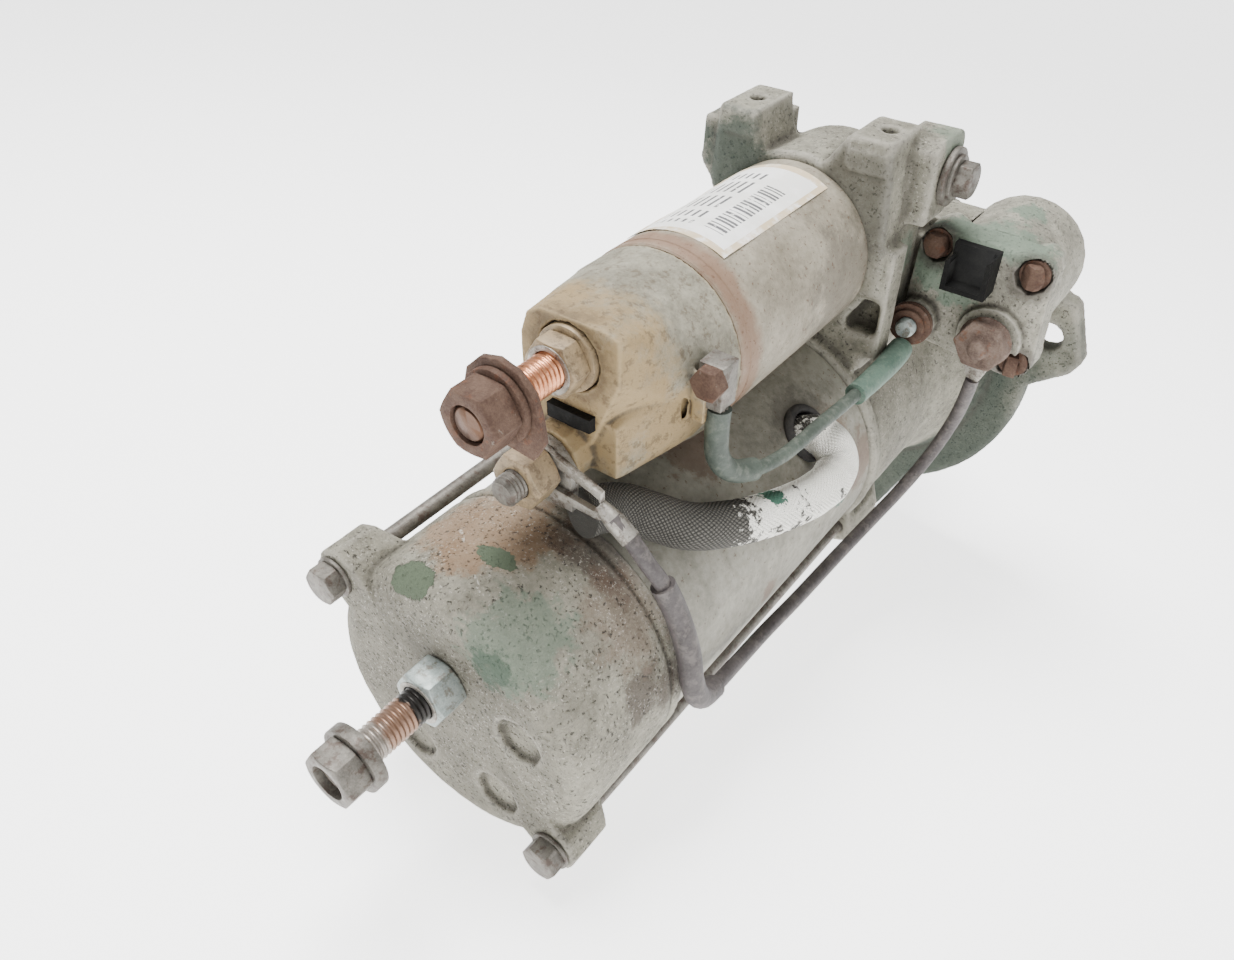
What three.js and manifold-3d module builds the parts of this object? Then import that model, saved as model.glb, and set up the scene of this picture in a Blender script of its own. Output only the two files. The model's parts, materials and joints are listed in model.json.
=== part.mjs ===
// Heavy-duty planetary starter motor, 24 V, with its solenoid and relay.
// Millimetres, +Z up. The motor turns about a line along +X, which points to the pinion.
// Shapes are drawn with x = 0 on the rear face and y = z = 0 on the motor axis; the
// exported group then moves the origin to the middle of the foot of the whole part.
import * as THREE from 'three';
import { mergeVertices } from 'three/addons/utils/BufferGeometryUtils.js';
import { ConvexGeometry } from 'three/addons/geometries/ConvexGeometry.js';
import Module from 'manifold-3d';

const wasm = await Module();
wasm.setup();

// ---------------------------------------------------------------- driving dimensions

const GAP = 0.3;
const RAD = Math.PI / 180;

// sides of round shapes, from the widest to the narrowest
const FINE = 32;
const WIDE = 24;
const MEDIUM = 18;
const SMALL = 12;
const TINY = 8;

// stations along the motor axis
const BRACKET_END = 56.8;
const YOKE_END = 200;
const FRONT_START = YOKE_END + GAP;
const FLANGE_BACK = 300;
const FLANGE_FACE = 311;
const SPIGOT_FACE = 316;

// radii about the motor axis
const BRACKET_R = 54.2;
const YOKE_R = 52.5;
const YOKE_BORE = 47.5;
const FLANGE_R = 83.8;
const SPIGOT_R = 46;
const SHAFT_R = 8.1;
const BEARING_SEAT_R = 16.3;
const HUB_R = 19.6;
const HUB_END = 20;

// solenoid, above the motor
const SOL_Z = 88.3;
const SOL_R = 33.8;
const CAP_FACE = 60;
const CAN_START = 113.6;
const CAN_END = 204.2;

// round fixings and the holes that clear them
const BOLT_R = 3;
const BOLT_HOLE_R = 3.4;
const STUD_R = 6;
const STUD_HOLE_R = 6.3;
const POST_R = 4;
const POST_HOLE_R = 4.4;
const LEVER_PIN_R = 4;
const LEVER_PIN_HOLE_R = 4.3;

// ears of the mounting flange, as angles from +Y towards +Z
const EAR_ANGLES = [20, 160, 270];
const EAR_HOLE_AT = 92;
const EAR_HOLE_R = 6.75;
const EAR_END = 106;
const FOOT_Z = -104;

// through bolts, as [y, z]
const BOLTS = { upper: [44.9, 37.4], lower: [-42.8, -36.1] };
const LUG_R = 9.5;
const REAR_LUG_END = 18;

// terminals, as [y, z]
const GROUND = [-1.6, 20.1];
const BATTERY = [-5, 110];
const MOTOR_POST = [-3, 76.5];

// towers on the front bracket, and the clamp bolt in the side of the right one
const TOWER_TOP = 137;
const TOWER_HOLE_X = 217;
const TOWER_HOLES_Y = [27.5, -28];
const CLAMP_X = 234;
const CLAMP_Z = 119;
const CLAMP_FACE_Y = -47;

// relay beside the front bracket
const RELAY = [-69, 73];
const RELAY_R = 25;
const RELAY_FACE = 233;
const RELAY_JOINT = 247;
const RELAY_END = 296;
const RELAY_BOLTS = [[-48.4, 91], [-87, 89.5], [-88.5, 51.5]];
const RELAY_POST = [-78, 61.5];
const RELAY_PIN = [-48, 60];

// planetary gears: sun 11, planets 13, ring 37 teeth
const GEAR_MODULE = 2;
const SUN_TEETH = 11;
const PLANET_TEETH = 13;
const RING_TEETH = 37;
const GEAR_START = 204;
const GEAR_END = 221.5;
const PLANET_ORBIT = (GEAR_MODULE * (SUN_TEETH + PLANET_TEETH)) / 2;
const ADDENDUM = 1.6;
const DEDENDUM = 2.4;
const PINION_TEETH = 11;
const PINION_MODULE = 3;

// shift lever
const LEVER_X = 236;
const PIVOT_Z = 52;

// ---------------------------------------------------------------- materials

const FINISHES = {
  cast: { color: 0x9a968c, roughness: 0.85, metalness: 0.25 },
  yoke: { color: 0xa29d93, roughness: 0.8, metalness: 0.3 },
  steel: { color: 0x8f8b84, roughness: 0.5, metalness: 0.8 },
  dull: { color: 0x5d5a55, roughness: 0.6, metalness: 0.7 },
  rust: { color: 0x6b4e41, roughness: 0.95, metalness: 0.3 },
  copper: { color: 0xb86f47, roughness: 0.4, metalness: 0.9 },
  zinc: { color: 0xa8b3b0, roughness: 0.45, metalness: 0.7 },
  phenolic: { color: 0xa08d68, roughness: 0.9, metalness: 0 },
  black: { color: 0x26272a, roughness: 0.6, metalness: 0 },
  rubber: { color: 0x4a4b4d, roughness: 0.85, metalness: 0 },
  braid: { color: 0x8d8b85, roughness: 0.95, metalness: 0 },
  green: { color: 0x2f4a40, roughness: 0.7, metalness: 0.1 },
  winding: { color: 0x9c4f26, roughness: 0.5, metalness: 0.4 },
  carbon: { color: 0x303032, roughness: 0.8, metalness: 0.1 },
  brass: { color: 0xb39a55, roughness: 0.4, metalness: 0.9 },
};

// ---------------------------------------------------------------- shape helpers

// Triangles and merged corners of a closed geometry, without the slivers at a pole.
function cornersAndFaces(geometry) {
  const bare = geometry.clone();
  bare.deleteAttribute('normal');
  bare.deleteAttribute('uv');
  const merged = mergeVertices(bare, 1e-4);
  const corners = merged.attributes.position.array;
  const faces = [];
  for (let i = 0; i < merged.index.count; i += 3) {
    const [a, b, c] = [0, 1, 2].map((k) => merged.index.array[i + k]);
    if (a !== b && b !== c && c !== a) faces.push(a, b, c);
  }
  return { corners, faces };
}

// Six times the volume inside the faces, negative where they point inwards.
function signedVolume(corners, faces) {
  const point = (i) => new THREE.Vector3().fromArray(corners, 3 * i);
  let sum = 0;
  for (let i = 0; i < faces.length; i += 3) {
    sum += point(faces[i]).dot(point(faces[i + 1]).cross(point(faces[i + 2])));
  }
  return sum;
}

function toSolid(geometry) {
  const { corners, faces } = cornersAndFaces(geometry);
  if (signedVolume(corners, faces) < 0) faces.reverse();
  const mesh = new wasm.Mesh({
    numProp: 3,
    vertProperties: new Float32Array(corners),
    triVerts: new Uint32Array(faces),
  });
  return new wasm.Manifold(mesh);
}

function toGeometry(solid) {
  const mesh = solid.getMesh();
  const geometry = new THREE.BufferGeometry();
  geometry.setAttribute('position', new THREE.BufferAttribute(mesh.vertProperties, 3));
  geometry.setIndex(new THREE.BufferAttribute(mesh.triVerts, 1));
  geometry.computeVertexNormals();
  return geometry;
}

const join = (...solids) => solids.reduce((whole, next) => whole.add(next));
const cut = (solid, ...tools) => tools.reduce((whole, next) => whole.subtract(next), solid);

// A closed profile of [x, r] points turned about the line y, z that runs along +X.
function turned(profile, sides, [y, z] = [0, 0]) {
  const first = profile[0];
  const onAxis = first[1] === 0;
  const points = profile.map(([x, r]) => new THREE.Vector2(r, x));
  if (!onAxis) points.push(new THREE.Vector2(first[1], first[0]));
  const geometry = new THREE.LatheGeometry(points, sides);
  geometry.rotateZ(-Math.PI / 2);
  geometry.translate(0, y, z);
  return toSolid(geometry);
}

const rod = (r, x0, x1, at = [0, 0], sides = SMALL) => (
  turned([[x0, 0], [x0, r], [x1, r], [x1, 0]], sides, at)
);

const ring = (outer, inner, x0, x1, at = [0, 0], sides = MEDIUM) => (
  turned([[x0, inner], [x0, outer], [x1, outer], [x1, inner]], sides, at)
);

function block(x0, x1, y0, y1, z0, z1) {
  const geometry = new THREE.BoxGeometry(x1 - x0, y1 - y0, z1 - z0);
  geometry.translate((x0 + x1) / 2, (y0 + y1) / 2, (z0 + z1) / 2);
  return toSolid(geometry);
}

// A cylinder between two points.
function pin(r, from, to, sides = SMALL) {
  const start = new THREE.Vector3(...from);
  const end = new THREE.Vector3(...to);
  const along = end.clone().sub(start);
  const geometry = new THREE.CylinderGeometry(r, r, along.length(), sides);
  const turn = new THREE.Quaternion();
  turn.setFromUnitVectors(new THREE.Vector3(0, 1, 0), along.normalize());
  geometry.applyQuaternion(turn);
  geometry.translate(...start.add(end).multiplyScalar(0.5).toArray());
  return toSolid(geometry);
}

// A hexagon prism along X, with its flats up and down.
function hexagon(acrossFlats, x0, x1, [y, z]) {
  const corner = acrossFlats / 2 / Math.cos(30 * RAD);
  const geometry = new THREE.CylinderGeometry(corner, corner, x1 - x0, 6);
  geometry.rotateZ(-Math.PI / 2);
  geometry.translate((x0 + x1) / 2, y, z);
  return toSolid(geometry);
}

// A flat outline of [y, z] points, drawn out from x0 to x1.
function prism(outline, x0, x1, holes = []) {
  const shape = new THREE.Shape(outline.map(([y, z]) => new THREE.Vector2(y, z)));
  for (const hole of holes) {
    shape.holes.push(new THREE.Path(hole.map(([y, z]) => new THREE.Vector2(y, z))));
  }
  const options = { depth: x1 - x0, bevelEnabled: false };
  const geometry = new THREE.ExtrudeGeometry(shape, options);
  const toYZ = new THREE.Matrix4().makeBasis(
    new THREE.Vector3(0, 1, 0), new THREE.Vector3(0, 0, 1), new THREE.Vector3(1, 0, 0),
  );
  geometry.applyMatrix4(toYZ);
  geometry.translate(x0, 0, 0);
  return toSolid(geometry);
}

// The tightest skin round a cloud of [x, y, z] points.
function skin(points) {
  return toSolid(new ConvexGeometry(points.map((p) => new THREE.Vector3(...p))));
}

// Points of a circle in a plane of constant x.
function circle(x, r, [y, z], sides) {
  return Array.from({ length: sides }, (_, i) => {
    const angle = (i / sides) * 360 * RAD;
    return [x, y + r * Math.cos(angle), z + r * Math.sin(angle)];
  });
}

const polar = (r, degrees) => [r * Math.cos(degrees * RAD), r * Math.sin(degrees * RAD)];

// A round lead along a list of points.
function lead(points, r, sides, steps) {
  const path = new THREE.CatmullRomCurve3(points.map((p) => new THREE.Vector3(...p)));
  const section = new THREE.Shape(
    Array.from({ length: sides }, (_, i) => new THREE.Vector2(...polar(r, (360 * i) / sides))),
  );
  const options = { steps, extrudePath: path, bevelEnabled: false };
  return toSolid(new THREE.ExtrudeGeometry(section, options));
}

// ---------------------------------------------------------------- gears

const involute = (angle) => Math.tan(angle) - angle;

// The [y, z] outline of a spur gear. fill is the tooth's share of its full thickness.
function gearOutline(teeth, tipR, rootR, fill, turnDegrees) {
  const pitchR = (GEAR_MODULE * teeth) / 2;
  const pressure = 20 * RAD;
  const baseR = pitchR * Math.cos(pressure);
  const halfAt = (r) => {
    const angle = r > baseR ? involute(Math.acos(baseR / r)) : 0;
    return (Math.PI / 2 / teeth) * fill + involute(pressure) - angle;
  };
  const flank = [rootR, pitchR, tipR];
  const outline = [];
  for (let tooth = 0; tooth < teeth; tooth += 1) {
    const middle = turnDegrees + (360 * tooth) / teeth;
    for (const r of flank) outline.push(polar(r, middle - halfAt(r) / RAD));
    for (const r of flank.toReversed()) outline.push(polar(r, middle + halfAt(r) / RAD));
  }
  return outline;
}

function outerGear(teeth, turnDegrees) {
  const pitchR = (GEAR_MODULE * teeth) / 2;
  return gearOutline(teeth, pitchR + ADDENDUM, pitchR - DEDENDUM, 0.84, turnDegrees);
}

// ---------------------------------------------------------------- the parts list

const motor = new THREE.Group();

function piece(name, solid, finish) {
  const material = new THREE.MeshStandardMaterial(FINISHES[finish]);
  const mesh = new THREE.Mesh(toGeometry(solid), material);
  mesh.name = name;
  motor.add(mesh);
}

// ---------------------------------------------------------------- rear bracket and yoke

function rearBracket() {
  const shell = turned([
    [0, 0], [0, 45], [1.2, 48.6], [3.6, 51.6], [7, 53.5], [11, BRACKET_R],
    [50, BRACKET_R], [50.6, 53], [52.4, 53], [53, BRACKET_R], [BRACKET_END, BRACKET_R],
    [BRACKET_END, YOKE_BORE], [9, YOKE_BORE], [9, 0],
  ], FINE);
  const lugs = Object.values(BOLTS).map(([y, z]) => {
    const inner = [0.8 * y, 0.8 * z];
    return skin([
      ...circle(0, LUG_R, [y, z], TINY), ...circle(REAR_LUG_END, LUG_R, [y, z], TINY),
      ...circle(0, LUG_R, inner, TINY), ...circle(REAR_LUG_END + 6, LUG_R, inner, TINY),
    ]);
  });
  const cavity = rod(YOKE_BORE, 9, BRACKET_END + 1, [0, 0], FINE);
  const hub = ring(HUB_R, BEARING_SEAT_R, 8, HUB_END);
  const boltHoles = Object.values(BOLTS).map((at) => rod(BOLT_HOLE_R, -1, BRACKET_END + 1, at, TINY));
  const studHole = rod(STUD_HOLE_R, -1, 7.8, GROUND, SMALL);
  const pockets = [-125, -55, 160].map((degrees) => rod(9, -1, 2.4, polar(33, degrees), TINY));
  const body = cut(join(shell, ...lugs), cavity);
  return cut(join(body, hub), ...boltHoles, studHole, ...pockets);
}

function throughBolt(at) {
  const shank = rod(BOLT_R, -2, 224, at, TINY);
  const head = hexagon(12, -7.4, -1.2, at);
  const collar = rod(7.4, -1.8, -GAP, at, TINY);
  return join(shank, head, collar);
}

function yoke() {
  const tube = ring(YOKE_R, YOKE_BORE, BRACKET_END + GAP, YOKE_END, [0, 0], FINE);
  const leadHole = pin(9.4, [163, ...polar(40, 136)], [163, ...polar(60, 136)], SMALL);
  return cut(tube, leadHole);
}

function fieldPole(degrees) {
  const arc = (r, from, to) => Array.from({ length: 9 }, (_, i) => (
    polar(r, degrees + from + ((to - from) * i) / 8)
  ));
  return prism([...arc(YOKE_BORE - GAP, -33, 33), ...arc(33, 36, -36)], 78, 172);
}

// ---------------------------------------------------------------- armature and brushes

function armatureShaft() {
  const shaft = turned([
    [10.2, 0], [10.2, 5.75], [21, 5.75], [21, SHAFT_R], [GEAR_START, SHAFT_R],
    [GEAR_START, 5.7], [227, 5.7], [227, 0],
  ], SMALL);
  const sun = prism(outerGear(SUN_TEETH, 0), GEAR_START - 0.5, GEAR_END);
  return join(shaft, sun);
}

function armatureCore() {
  const slots = 14;
  const outline = [];
  for (let slot = 0; slot < slots; slot += 1) {
    const middle = (360 * slot) / slots;
    outline.push(polar(31.6, middle - 9.6), polar(31.6, middle + 9.6));
    outline.push(polar(28, middle + 10.6), polar(28, middle + 15.1));
  }
  const stack = prism(outline, 85, 165);
  const ends = turned([[58, 0], [58, 20], [72, 27], [178, 27], [183, 22], [183, 0]], WIDE);
  return cut(join(stack, ends), rod(SHAFT_R + GAP, 50, 190));
}

function commutator() {
  const bars = 16;
  const outline = [];
  for (let bar = 0; bar < bars; bar += 1) {
    const middle = (360 * bar) / bars;
    outline.push(polar(18, middle - 9.4), polar(18, middle + 9.4));
    outline.push(polar(16.9, middle + 9.8), polar(16.9, middle + 12.7));
  }
  const riser = rod(20.5, 49.5, 53.5, [0, 0], WIDE);
  return cut(join(prism(outline, 27, 50), riser), rod(SHAFT_R + GAP, 20, 60));
}

// A box on the +Y side of the axis, turned about it.
function boxAtAngle(x0, x1, r0, r1, width, degrees) {
  const geometry = new THREE.BoxGeometry(x1 - x0, r1 - r0, width);
  geometry.translate((x0 + x1) / 2, (r0 + r1) / 2, 0);
  geometry.rotateX(degrees * RAD);
  return toSolid(geometry);
}

const BRUSH_ANGLES = [45, 135, 225, 315];

function brushHolder() {
  const plate = ring(YOKE_BORE - GAP, 24, 48.2, 51, [0, 0], WIDE);
  const boxes = BRUSH_ANGLES.map((angle) => boxAtAngle(30, 49, 23, 38, 12.6, angle));
  const channels = BRUSH_ANGLES.map((angle) => boxAtAngle(31.4, 47.6, 20, 40, 9, angle));
  return cut(join(plate, ...boxes), ...channels);
}

const brush = (angle) => boxAtAngle(31.8, 47.2, 18.4, 34, 8.2, angle);

// ---------------------------------------------------------------- gear train and drive

function centrePlate() {
  return turned([
    [188, 9], [188, YOKE_BORE - GAP], [194, YOKE_BORE - GAP], [194, 20], [199, 14], [199, 9],
  ], WIDE);
}

function ringGear() {
  const pitchR = (GEAR_MODULE * RING_TEETH) / 2;
  const space = gearOutline(RING_TEETH, pitchR + DEDENDUM, pitchR - ADDENDUM + 0.1, 1.16, 0);
  const rim = circle(0, 45.8, [0, 0], FINE).map(([, y, z]) => [y, z]);
  return prism(rim, GEAR_START - 0.5, GEAR_END + 0.5, [space]);
}

function planetGear(index) {
  const angle = 120 * index;
  const meshTurn = 180 + 180 / PLANET_TEETH;
  const turn = meshTurn + angle - (angle * RING_TEETH) / PLANET_TEETH;
  const [y, z] = polar(PLANET_ORBIT, angle);
  const outline = outerGear(PLANET_TEETH, turn).map(([u, v]) => [u + y, v + z]);
  return cut(prism(outline, GEAR_START, GEAR_END), rod(4.9, 200, 225, [y, z], TINY));
}

function planetCarrier() {
  const plate = rod(34, 222.2, 228, [0, 0], WIDE);
  const pins = [0, 120, 240].map((angle) => rod(4.5, 205, 223, polar(PLANET_ORBIT, angle), TINY));
  const shaft = rod(10.6, 227, 366.5, [0, 0], SMALL);
  const stop = rod(13.2, 362.8, 365.2);
  const pilot = rod(6.1, 221, 227.6, [0, 0], SMALL);
  return cut(join(plate, ...pins, shaft, stop), pilot);
}

// Collar with the lever's groove, then the roller clutch's drum.
function overrunningClutch() {
  return turned([
    [229, 11], [229, 23.5], [231.4, 23.5], [231.4, 17.5], [240.6, 17.5], [240.6, 23.5],
    [243.4, 23.5], [245, 31], [268, 31], [270, 28], [270, 16.4], [272.5, 16.4], [272.5, 11],
  ], WIDE);
}

function pinion() {
  const scale = PINION_MODULE / GEAR_MODULE;
  const teeth = outerGear(PINION_TEETH, 0).map(([y, z]) => [y * scale, z * scale]);
  const gear = prism(teeth, 320, 348);
  const sleeve = rod(14, 272.9, 321, [0, 0], MEDIUM);
  return cut(join(gear, sleeve), rod(11, 260, 360, [0, 0], SMALL));
}

function shiftLever() {
  const hub = pin(9, [LEVER_X, -8, PIVOT_Z], [LEVER_X, 8, PIVOT_Z]);
  const arm = skin([-1, 1].flatMap((side) => [
    [LEVER_X - 7, 7 * side, PIVOT_Z + 3], [LEVER_X + 7, 7 * side, PIVOT_Z + 3],
    [LEVER_X - 2.5, 3.6 * side, 82], [LEVER_X + 2.5, 3.6 * side, 82],
  ]));
  const neck = block(LEVER_X - 2.5, LEVER_X + 2.5, -3.6, 3.6, 80, SOL_Z);
  const tip = pin(3.9, [LEVER_X, -3.6, SOL_Z], [LEVER_X, 3.6, SOL_Z]);
  const bridge = block(LEVER_X - 5, LEVER_X + 5, -31, 31, 36, 46);
  const legs = [-28.5, 28.5].map((y) => (
    block(LEVER_X - 5, LEVER_X + 5, y - 2.5, y + 2.5, -5, 40)
  ));
  const pads = [-1, 1].map((side) => (
    pin(4, [LEVER_X, 18.5 * side, 0], [LEVER_X, 29 * side, 0])
  ));
  const hole = pin(LEVER_PIN_HOLE_R, [LEVER_X, -40, PIVOT_Z], [LEVER_X, 40, PIVOT_Z]);
  return cut(join(hub, arm, neck, tip, bridge, ...legs, ...pads), hole);
}

// ---------------------------------------------------------------- front bracket

function ear(degrees) {
  const [y, z] = polar(EAR_HOLE_AT, degrees);
  const [rootY, rootZ] = polar(62, degrees);
  const wide = degrees === 270 ? 27 : 19;
  const side = polar(1, degrees + 90);
  const corner = (r, w) => {
    const [v, u] = polar(r, degrees);
    return [v + w * side[0], u + w * side[1]];
  };
  const outline = [[70, -1.5], [EAR_END - 6, -1], [EAR_END, -0.72], [EAR_END, 0.72],
    [EAR_END - 6, 1], [70, 1.5]].map(([r, w]) => corner(r, w * wide));
  const web = prism(outline, FLANGE_BACK, FLANGE_FACE);
  const gusset = skin([
    ...circle(FLANGE_BACK - 24, 5, [rootY * 0.75, rootZ * 0.75], TINY),
    ...circle(FLANGE_BACK + 2, 7, [rootY * 0.75, rootZ * 0.75], TINY),
    ...circle(FLANGE_BACK + 2, 7, [rootY * 1.2, rootZ * 1.2], TINY),
  ]);
  const hole = rod(EAR_HOLE_R, FLANGE_BACK - 1, FLANGE_FACE + 1, [y, z], SMALL);
  return { body: join(web, gusset), hole };
}

function towers() {
  const leftOutline = [[14, 112], [19.5, TOWER_TOP], [36, TOWER_TOP], [38, 78], [14, 78]];
  const rightOutline = [[-5, 118], [-18.5, TOWER_TOP], [-36, TOWER_TOP], [-40, 78], [-8, 78]];
  const left = prism(leftOutline, 203, 231);
  const leftSide = prism([[34, 131.5], [44, 130], [45, 112], [36, 100]], 205, 224);
  const leftFront = block(230, 241, 21, 36, 96, 129);
  const right = prism(rightOutline, 203, 229);
  return join(left, leftSide, leftFront, right);
}

// Block on the right tower that carries the clamp bolt, and the wall down to the relay.
function relayArm() {
  const corners = [-30, CLAMP_FACE_Y].flatMap((y) => [
    [219, y, 131], [224, y, 134], [243, y, 134], [246, y, 130], [246, y, 110], [240, y, 103],
    [219, y, 103],
  ]);
  const wall = block(222, 240, -38.6, -30, 70, 108);
  const saddle = block(256, 278, -56, -30, 44, 92);
  const seat = rod(RELAY_R + GAP, 240, 300, RELAY, WIDE);
  return join(skin(corners), wall, cut(saddle, seat));
}

function frontBracket() {
  const barrel = turned([
    [FRONT_START, 0], [FRONT_START, 54.6], [206, 54.6], [206, 53.4], [262, 53.4],
    [288, 60], [FLANGE_BACK, 66], [FLANGE_BACK, FLANGE_R], [FLANGE_FACE, FLANGE_R],
    [FLANGE_FACE, SPIGOT_R], [SPIGOT_FACE, SPIGOT_R], [SPIGOT_FACE, 0],
  ], FINE);
  const nose = skin([
    ...circle(204.6, 36.6, [0, SOL_Z], WIDE), ...circle(246, 35, [0, SOL_Z], WIDE),
    ...circle(262, 25, [0, SOL_Z - 4], SMALL),
  ]);
  const neck = skin([
    [204.6, -38.6, 44], [204.6, -38.6, 92], [204.6, 40, 40], [204.6, 40, 92],
    [266, -38.6, 40], [262, -36, 84], [266, 40, 40], [262, 36, 84], [204.6, 0, 30], [280, 0, 30],
    [292, -20, 46], [292, 20, 46],
  ]);
  const cheek = block(204.6, 217, -43.5, -30, 50, 97);
  const lugs = Object.values(BOLTS).map(([y, z]) => skin([
    ...circle(FRONT_START, LUG_R, [y, z], TINY), ...circle(226, LUG_R - 1, [y, z], TINY),
    ...circle(FRONT_START, 6, [0.7 * y, 0.7 * z], TINY), ...circle(240, 5, [0.85 * y, 0.85 * z], TINY),
  ]));
  const ears = EAR_ANGLES.map(ear);
  const outside = join(
    barrel, nose, neck, cheek, towers(), relayArm(), ...lugs, ...ears.map((e) => e.body),
  );
  const inside = join(
    rod(46.1, FRONT_START - 1, 224.5, [0, 0], FINE),
    rod(40.5, 224, 290, [0, 0], FINE),
    rod(26.3, 289, 305.8, [0, 0], WIDE),
    rod(15.5, 305, SPIGOT_FACE + 1, [0, 0], MEDIUM),
    rod(24, 204, 252, [0, SOL_Z], MEDIUM),
    rod(SOL_R + GAP, 190, CAN_END + GAP, [0, SOL_Z], FINE),
    block(224, 264, -33, 33, 0, 62),
    block(224, 258, -15, 15, 60, SOL_Z),
  );
  const holes = [
    ...Object.values(BOLTS).map((at) => rod(BOLT_HOLE_R, FRONT_START - 1, 224.6, at, TINY)),
    ...TOWER_HOLES_Y.map((y) => (
      pin(BOLT_HOLE_R, [TOWER_HOLE_X, y, TOWER_TOP - 17], [TOWER_HOLE_X, y, TOWER_TOP + 3], TINY)
    )),
    block(200, 214, -41, -28, 60, 75),
    pin(LEVER_PIN_HOLE_R, [LEVER_X, -60, PIVOT_Z], [LEVER_X, 60, PIVOT_Z], TINY),
    pin(BOLT_HOLE_R, [CLAMP_X, CLAMP_FACE_Y - 1, CLAMP_Z], [CLAMP_X, -40, CLAMP_Z], TINY),
    block(FLANGE_BACK - 30, FLANGE_FACE + 1, -60, 60, -130, FOOT_Z),
    ...ears.map((e) => e.hole),
  ];
  return cut(outside, inside, ...holes);
}

function clampBolt() {
  const along = (r, from, to, sides) => (
    pin(r, [CLAMP_X, CLAMP_FACE_Y - from, CLAMP_Z], [CLAMP_X, CLAMP_FACE_Y - to, CLAMP_Z], sides)
  );
  const shank = along(BOLT_R, -6, 2, TINY);
  const washer = along(11, GAP, 2.6, SMALL);
  const flange = along(8.6, 2.5, 4.2, SMALL);
  const head = along(6.9, 4, 10, 6);
  return join(shank, washer, flange, head);
}

// ---------------------------------------------------------------- solenoid

function solenoidCan() {
  return turned([
    [CAN_START, 30.6], [CAN_START, SOL_R], [CAN_END, SOL_R], [CAN_END, 13.2], [198, 13.2],
    [198, 30.6],
  ], FINE, [0, SOL_Z]);
}

function solenoidCap() {
  const root = circle(103, SOL_R - 0.1, [0, SOL_Z], FINE);
  const upperFace = [[13.5, 112], [11, 119.5], [6, 122.6], [-18, 123.2], [-23.5, 121.5],
    [-23.7, 107], [-13, 92], [-13, 81.5], [7, 81.5], [13.5, 96]];
  const lowerFace = [[-22, 71], [-22, 90], [16, 90], [16, 71]];
  const upperLobe = skin([...upperFace.map(([y, z]) => [CAP_FACE, y, z]), ...root]);
  const lowerLobe = skin([...lowerFace.map(([y, z]) => [CAP_FACE + 1.5, y, z]), ...root]);
  const rim = rod(SOL_R - 0.1, 100, 113.3, [0, SOL_Z], FINE);
  const motorBoss = rod(10.5, 53, 90, MOTOR_POST, SMALL);
  const recess = rod(11.6, 50, CAP_FACE + 3, BATTERY, SMALL);
  const chamber = rod(29.4, 86, 114, [0, SOL_Z], WIDE);
  const holes = [rod(STUD_HOLE_R, 50, 90, BATTERY, SMALL), rod(5.4, 50, 90, MOTOR_POST, SMALL)];
  const notch = block(88, 100, -36, -31, 84, 101);
  return cut(join(upperLobe, lowerLobe, rim, motorBoss), recess, chamber, ...holes, notch);
}

function fixedCore() {
  return turned([
    [114, 3.8], [114, 30.2], [121, 30.2], [121, 12.6], [145, 12.6], [145, 3.8],
  ], MEDIUM, [0, SOL_Z]);
}

function plunger() {
  const body = rod(12.7, 160, 200, [0, SOL_Z], MEDIUM);
  const neck = rod(6, 199, 228, [0, SOL_Z], SMALL);
  const head = block(226, 246, -9, 9, SOL_Z - 5, SOL_Z + 5);
  const eye = block(LEVER_X - 4.8, LEVER_X + 4.8, -4.4, 4.4, SOL_Z - 6, SOL_Z + 6);
  return cut(join(body, neck, head), eye);
}

function returnSpring() {
  const turns = 3;
  const steps = 30;
  const points = Array.from({ length: steps + 1 }, (_, i) => {
    const [y, z] = polar(9.6, (360 * turns * i) / steps);
    return [146.4 + (12 * i) / steps, y, SOL_Z + z];
  });
  return lead(points, 0.8, 6, steps);
}

function movingContact() {
  return join(rod(20, 98.5, 101, [0, SOL_Z], MEDIUM), rod(3, 100, 159.7, [0, SOL_Z], TINY));
}

// A terminal post with its contact head inside the cap.
function post(at, r, tip, head) {
  return join(rod(r, tip, 87, at, SMALL), rod(head, 86.3, 88, at, SMALL));
}

function hexNut(acrossFlats, x0, x1, at, bore) {
  return cut(hexagon(acrossFlats, x0, x1, at), rod(bore, x0 - 1, x1 + 1, at, SMALL));
}

function flangedNut(acrossFlats, x0, x1, flangeR, flange, at, bore) {
  const body = join(hexagon(acrossFlats, x0, x1, at), rod(flangeR, x1 - 0.1, x1 + flange, at, MEDIUM));
  return cut(body, rod(bore, x0 - 1, x1 + flange + 1, at, SMALL));
}

// Torn end of the cable lug that is still under the end nut.
function batteryLug() {
  const [y, z] = BATTERY;
  const plate = skin([
    ...circle(30.6, 14, BATTERY, SMALL), ...circle(33, 14, BATTERY, SMALL),
    [30.6, y - 15, z - 8], [33, y - 15, z - 8], [30.6, y - 11, z - 15], [33, y - 11, z - 15],
  ]);
  return cut(plate, rod(STUD_HOLE_R, 28, 36, BATTERY));
}

function signalTerminal() {
  const plate = block(88.6, 97.5, -41, -32, 89, 105);
  const head = hexagon(10, 84, 89, [-37.5, 100]);
  return join(plate, head);
}

// ---------------------------------------------------------------- relay

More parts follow.
